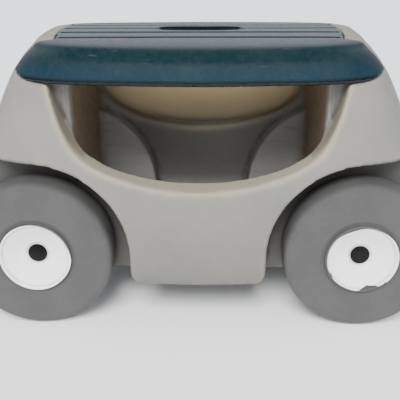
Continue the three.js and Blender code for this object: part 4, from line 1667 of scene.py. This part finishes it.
@dataclass
class Wheel:
    """One moulded wheel with its painted hub dish."""

    corner: Corner
    paint: HubPaint
    radius: float = WHEEL_RADIUS
    width: float = 0.048
    inner_plane: float = 0.098
    axle_x: float = AXLE_X
    hub_radius: float = 0.041
    dish_depth: float = 0.0145
    bead_width: float = 0.0034
    bead_height: float = 0.0026
    groove_width: float = 0.005
    groove_depth: float = 0.0026
    set_back: float = 0.0012
    bulge: float = 0.0009
    shoulder_radius: float = 0.0095
    crown: float = 0.0005
    bore: float = AXLE_BORE
    recess: float = 0.0102
    recess_depth: float = 0.0054
    cap_radius: float = CAP_RADIUS
    back_dish: float = 0.052
    back_depth: float = 0.009
    back_boss: float = 0.017
    back_zone: float = 0.012
    front_zone: float = 0.03

    @property
    def centre(self) -> Vector:
        """Where the wheel's axis meets its inner plane."""
        x = self.corner.side_x * self.axle_x
        return Vector((x, self.corner.side_y * self.inner_plane, self.radius))

    def profile(self) -> list[Bend]:
        """Corners of the wheel's section, from the bore outwards and round to the back."""
        width, hub = self.width, self.hub_radius
        dish = width - self.dish_depth
        side = width - self.set_back
        shoulder = self.radius - self.crown
        return [
            Bend(self.bore, dish - self.recess_depth),
            Bend(self.recess, dish - self.recess_depth),
            Bend(self.recess, dish, 0.0004),
            Bend(self.cap_radius + 0.0004, dish, 0.0006),
            Bend(self.cap_radius + 0.0090, dish + 0.0022, 0.004),
            Bend(hub - self.bead_width - 0.006, width - self.bead_height - 0.0028, 0.003),
            Bend(hub - self.bead_width, width - self.bead_height, 0.0008),
            Bend(hub - self.bead_width * 0.72, width, 0.0009),
            Bend(hub, width - 0.0002, 0.0010),
            Bend(hub, width - self.groove_depth, 0.0009),
            Bend(hub + self.groove_width * 0.4, width - self.groove_depth, 0.0009),
            Bend(hub + self.groove_width * 0.9, side, 0.0016),
            Bend((hub + shoulder) / 2, side + self.bulge, 0.006),
            Bend(shoulder - self.shoulder_radius * 0.55, side - 0.0003, 0.0035),
            Bend(shoulder - 0.0006, side - self.shoulder_radius * 0.6, 0.0035),
            Bend(self.radius, width / 2, 0.008),
            Bend(shoulder - 0.0006, self.set_back + self.shoulder_radius * 0.6, 0.0035),
            Bend(shoulder - self.shoulder_radius * 0.55, self.set_back + 0.0003, 0.0035),
            Bend(self.back_dish, self.set_back, 0.0015),
            Bend(self.back_dish - self.back_depth / 2, self.back_depth, 0.0020),
            Bend(self.back_boss, self.back_depth, 0.0015),
            Bend(self.back_boss - 0.0006, 0.0, 0.0008),
            Bend(self.bore, 0.0, 0.0005),
        ]

    def build(self) -> bpy.types.Object:
        """Make the wheel."""
        bm = turned(self.profile(), self.centre, self.corner.side_y, WHEEL_FACETS)
        piece = Workpiece(f"wheel_moulding_{self.corner.label}", bm)
        own = (piece.read() - np.array(self.centre)) * np.array([1.0, self.corner.side_y, 1.0])
        piece.mark("hub_place", own)
        piece.mark("hollow", self._hollows(own))
        material = WheelPlastic(self.paint).build()
        made = piece.finish(material, Body.wheel(self.corner), "wheel_plastic", sharp=60.0)
        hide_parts(f"wheel_{self.corner.label}")
        return made

    def _hollows(self, own: np.ndarray) -> np.ndarray:
        """Where shade is painted, above 0: rings round the hub, the bead's inner corner and the
        cap, and the back; and where the tyre's shoulder has scuffing and painted light, below 0.

        Each moat is given as its share, its radius and its width.
        """
        radius = np.hypot(own[:, 0], own[:, 2])
        moats = (
            (0.9, self.hub_radius + 0.0006, 0.0010),
            (0.5, self.hub_radius - self.bead_width - 0.0003, 0.0009),
            (0.6, self.cap_radius + 0.0007, 0.0009),
        )
        # painted shadow rings round the hub and the cap, and painted shade in the bead's corner
        moat = sum(share * ridge(radius - place, width) for share, place, width in moats)
        # painted shade on the wheel's back
        back = 0.5 * (own[:, 1] < self.back_zone) * (radius < self.back_dish)
        # scuffing and painted light on the tyre's shoulder
        worn = 0.35 * ridge(radius - self.radius + 0.004, 0.0025)
        return np.clip(moat * (own[:, 1] > self.front_zone) + back - worn, -1, 1)


@dataclass
class AxleSet:
    """An axle with the caps and spacers at its two ends."""

    end: str
    side_x: int
    axle_x: float = AXLE_X
    axle_z: float = WHEEL_RADIUS
    radius: float = 0.00555
    hub_floor: float = 0.1315
    well_plane: float = WELL_PLANE
    bore: float = AXLE_BORE
    cap_radius: float = CAP_RADIUS
    cap_rim: float = 0.0018
    cap_crown: float = 0.0016
    cap_wall: float = 0.0011
    cap_skirt: float = 0.0096
    cap_reach: float = 0.0054
    spacer_radius: float = 0.0125
    spacer_thickness: float = 0.0034
    gap: float = 0.0003

    @property
    def centre(self) -> Vector:
        """Middle of the axle."""
        return Vector((self.side_x * self.axle_x, 0, self.axle_z))

    def build_axle(self, finish: bpy.types.Material) -> bpy.types.Object:
        """Make the steel rod."""
        half = self.hub_floor + self.cap_rim - self.cap_wall
        profile = [
            Bend(0.0, -half), Bend(self.radius, -half, 0.0009),
            Bend(self.radius, half, 0.0009), Bend(0.0, half),
        ]
        shape = turned(profile, self.centre, 1, AXLE_FACETS)
        piece = Workpiece(f"axle_rod_{self.end}", shape)
        made = piece.finish(finish, Body.axle(self.end), "axle_steel")
        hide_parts(f"axle_{self.end}")
        return made

    def build_spacer(self, corner: Corner, finish: bpy.types.Material) -> bpy.types.Object:
        """Make the nylon spacer at a corner."""
        start = self.centre + Vector((0, corner.side_y * (self.well_plane + self.gap), 0))
        profile = [
            Bend(self.bore, 0.0, 0.0003), Bend(self.spacer_radius, 0.0, 0.0004),
            Bend(self.spacer_radius, self.spacer_thickness, 0.0007),
            Bend(self.bore, self.spacer_thickness, 0.0003),
        ]
        shape = turned(profile, start, corner.side_y, SPACER_FACETS)
        piece = Workpiece(f"spacer_ring_{corner.label}", shape)
        made = piece.finish(finish, Body.axle(self.end), "spacer_nylon")
        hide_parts(f"wheel_spacer_{corner.label}")
        return made

    def build_cap(self, corner: Corner, finish: bpy.types.Material) -> bpy.types.Object:
        """Make the push-on cap at a corner."""
        start = self.centre + Vector((0, corner.side_y * self.hub_floor, 0))
        skirt, inside = self.cap_skirt, self.cap_rim - self.cap_wall
        foot, top = self.gap - self.cap_reach, self.cap_rim + self.cap_crown
        profile = [
            Bend(skirt - self.cap_wall, foot),
            Bend(skirt, foot, 0.0003),
            Bend(skirt, self.gap),
            Bend(self.cap_radius, self.gap, 0.0002),
            Bend(self.cap_radius, self.cap_rim + 0.0002, 0.0007),
            Bend(self.cap_radius * 0.55, top - self.cap_crown * 0.2, 0.0020),
            Bend(0.0, top),
            Bend(0.0, top - self.cap_wall),
            Bend(skirt - self.cap_wall, inside),
        ]
        shape = turned(profile, start, corner.side_y, CAP_FACETS)
        piece = Workpiece(f"cap_disc_{corner.label}", shape)
        made = piece.finish(finish, Body.axle(self.end), "cap_plastic")
        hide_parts(f"axle_cap_{corner.label}")
        return made


# ---- Studio ----


@dataclass(frozen=True)
class Studio:
    """Floor, soft light and the camera."""

    place: tuple[float, float, float] = (0.0213, -0.8246, 0.4342)
    pitch: float = 22.14
    yaw: float = -1.54
    roll: float = -0.32
    focal_pixels: float = 683.7
    picture_pixels: float = 400.0
    sensor: float = 36.0
    clip: Band = (0.01, 60.0)
    floor_half_size: float = 14.0
    key_from: tuple[float, float, float] = (-0.3, -2.0, 2.15)
    key_colour: tuple[float, float, float] = (1.0, 0.998, 0.99)
    key_spread: float = 30.0
    key_strength: float = 6.0

    def camera(self) -> None:
        """Set the camera at the viewing angle of the photo."""
        pitch, yaw, roll = (math.radians(v) for v in (self.pitch, self.yaw, self.roll))
        ahead = Vector((
            math.sin(yaw) * math.cos(pitch), math.cos(yaw) * math.cos(pitch), -math.sin(pitch)
        ))
        right = Vector((math.cos(yaw), -math.sin(yaw), 0))
        up = right.cross(ahead)
        side = right * math.cos(roll) + up * math.sin(roll)
        top = up * math.cos(roll) - right * math.sin(roll)
        data = bpy.data.cameras.new("camera")
        data.sensor_width = self.sensor
        data.lens = self.focal_pixels / self.picture_pixels * self.sensor
        data.clip_start, data.clip_end = self.clip
        camera = bpy.data.objects.new("camera", data)
        turn = Matrix((side, top, -ahead)).transposed().to_4x4()
        camera.matrix_world = Matrix.Translation(Vector(self.place)) @ turn
        bpy.context.scene.collection.objects.link(camera)
        bpy.context.scene.camera = camera

    def floor(self) -> None:
        """Lay the pale floor."""
        bm = bmesh.new()
        bmesh.ops.create_grid(bm, x_segments=4, y_segments=4, size=self.floor_half_size)
        mesh = bpy.data.meshes.new("floor")
        bm.to_mesh(mesh)
        bm.free()
        floor = bpy.data.objects.new("floor", mesh)
        bpy.context.scene.collection.objects.link(floor)
        material, bench, shader = _open_material("floor_white")
        place = bench.place()
        cloud = bench.noise(place, 3.0, 2.0, 0.5)
        colour = bench.mix(cloud, tint(240, 240, 240), tint(244, 244, 244))
        away = bench.span(bench.parts(place)[1], -0.3, 0.9)
        colour = bench.mix(away, colour, tint(242, 245, 251))
        bench.feed(shader.inputs["Base Color"], colour)
        shader.inputs["Roughness"].default_value = 0.7
        mesh.materials.append(material)

    def lamp(self) -> None:
        """Hang the key, one broad, soft, far lamp aimed at the seat.

        Its spread is how wide it looks from the seat, in degrees, and its strength is in watts
        per square metre of a face turned to it.
        """
        data = bpy.data.lights.new("key", "SUN")
        data.angle, data.energy = math.radians(self.key_spread), self.key_strength
        data.color = self.key_colour
        lamp = bpy.data.objects.new("key", data)
        lamp.location = self.key_from
        lamp.rotation_euler = (-Vector(self.key_from)).to_track_quat("-Z", "Y").to_euler()
        lamp.visible_glossy = False
        bpy.context.scene.collection.objects.link(lamp)

    def surround(self) -> None:
        """Set the surroundings: pale walls, dimmer at the sides, under a dark ceiling.

        Glossy rays see other strengths than the rest do, so that the seat shines as in the photo.
        """
        world = bpy.data.worlds.new("surround")
        world.use_nodes = True
        bench = Bench(world.node_tree)
        x, y, z = bench.parts(bench.node("ShaderNodeTexCoord").outputs["Generated"])
        aside = bench.span(bench.math("ABSOLUTE", x), 0.40, 0.90, 1.0, 0.25)
        front = bench.span(z, 0.06, 0.38, 0.4, 2.0)
        behind = bench.span(y, 0.0, 0.5)
        gloss = bench.math("MAXIMUM", bench.times(front, 0.6), bench.times(behind, 0.75))
        gloss = bench.blend(bench.times(gloss, aside), bench.span(z, 0.86, 0.78), 0.12)
        calm = bench.times(front, bench.span(behind, 0.0, 1.0, 1.0, 0.18))
        calm = bench.blend(calm, bench.span(z, 0.85, 0.60), 0.36)
        seen = bench.node("ShaderNodeLightPath").outputs["Is Glossy Ray"]
        strength = bench.blend(seen, bench.math("SUBTRACT", gloss, calm), calm)
        sky = world.node_tree.nodes["Background"]
        sky.inputs["Color"].default_value = (0.93, 0.95, 1.0, 1.0)
        bench.feed(sky.inputs["Strength"], strength)
        bpy.context.scene.world = world


def main() -> None:
    """Build every piece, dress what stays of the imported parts, and set the studio."""
    logging.basicConfig(level=logging.INFO, format="%(name)s: %(message)s")
    studio = Studio()
    studio.camera()
    studio.floor()
    studio.lamp()
    studio.surround()

    skin, fit, well = Skin(), LidFit(), WheelWell()
    coarse = 1.0
    Tub(skin, fit, well, SideOpening(), voxel=Tub.voxel * coarse).build(StonePlastic())
    SeatLid(skin, fit, voxel=SeatLid.voxel * coarse).build(GreenPlastic())

    steel = PlainFinish("axle_steel", tint(168, 169, 171), tint(120, 112, 104), 1.0, 0.36).build()
    nylon = PlainFinish("spacer_nylon", tint(222, 220, 210), tint(190, 186, 172), 0.0, 0.45).build()
    dark, dusty = tint(4, 4, 4), tint(30, 30, 30)
    black = PlainFinish("cap_black", dark, dusty, 0.0, 0.42, 0.00012, 0.16).build()
    spring = PlainFinish("spring_steel", tint(108, 110, 112), tint(70, 66, 62), 1.0, 0.4).build()
    zinc = PlainFinish("screw_zinc", tint(190, 192, 196), tint(150, 148, 140), 1.0, 0.34).build()
    axles = {"front": AxleSet("front", 1), "rear": AxleSet("rear", -1)}
    for axle in axles.values():
        axle.build_axle(steel)
    for corner in Corner:
        Wheel(corner, CHIPPED_PAINT if corner is Corner.FRONT_RIGHT else SOUND_PAINT).build()
        axles[corner.end].build_spacer(corner, nylon)
        axles[corner.end].build_cap(corner, black)
        for node, material in (("push_nut", spring), ("lid_screw", zinc)):
            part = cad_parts[f"{node}_{corner.label}"]
            part.data.materials.clear()
            part.data.materials.append(material)

    bpy.context.view_layer.update()


if __name__ == "__main__":
    main()
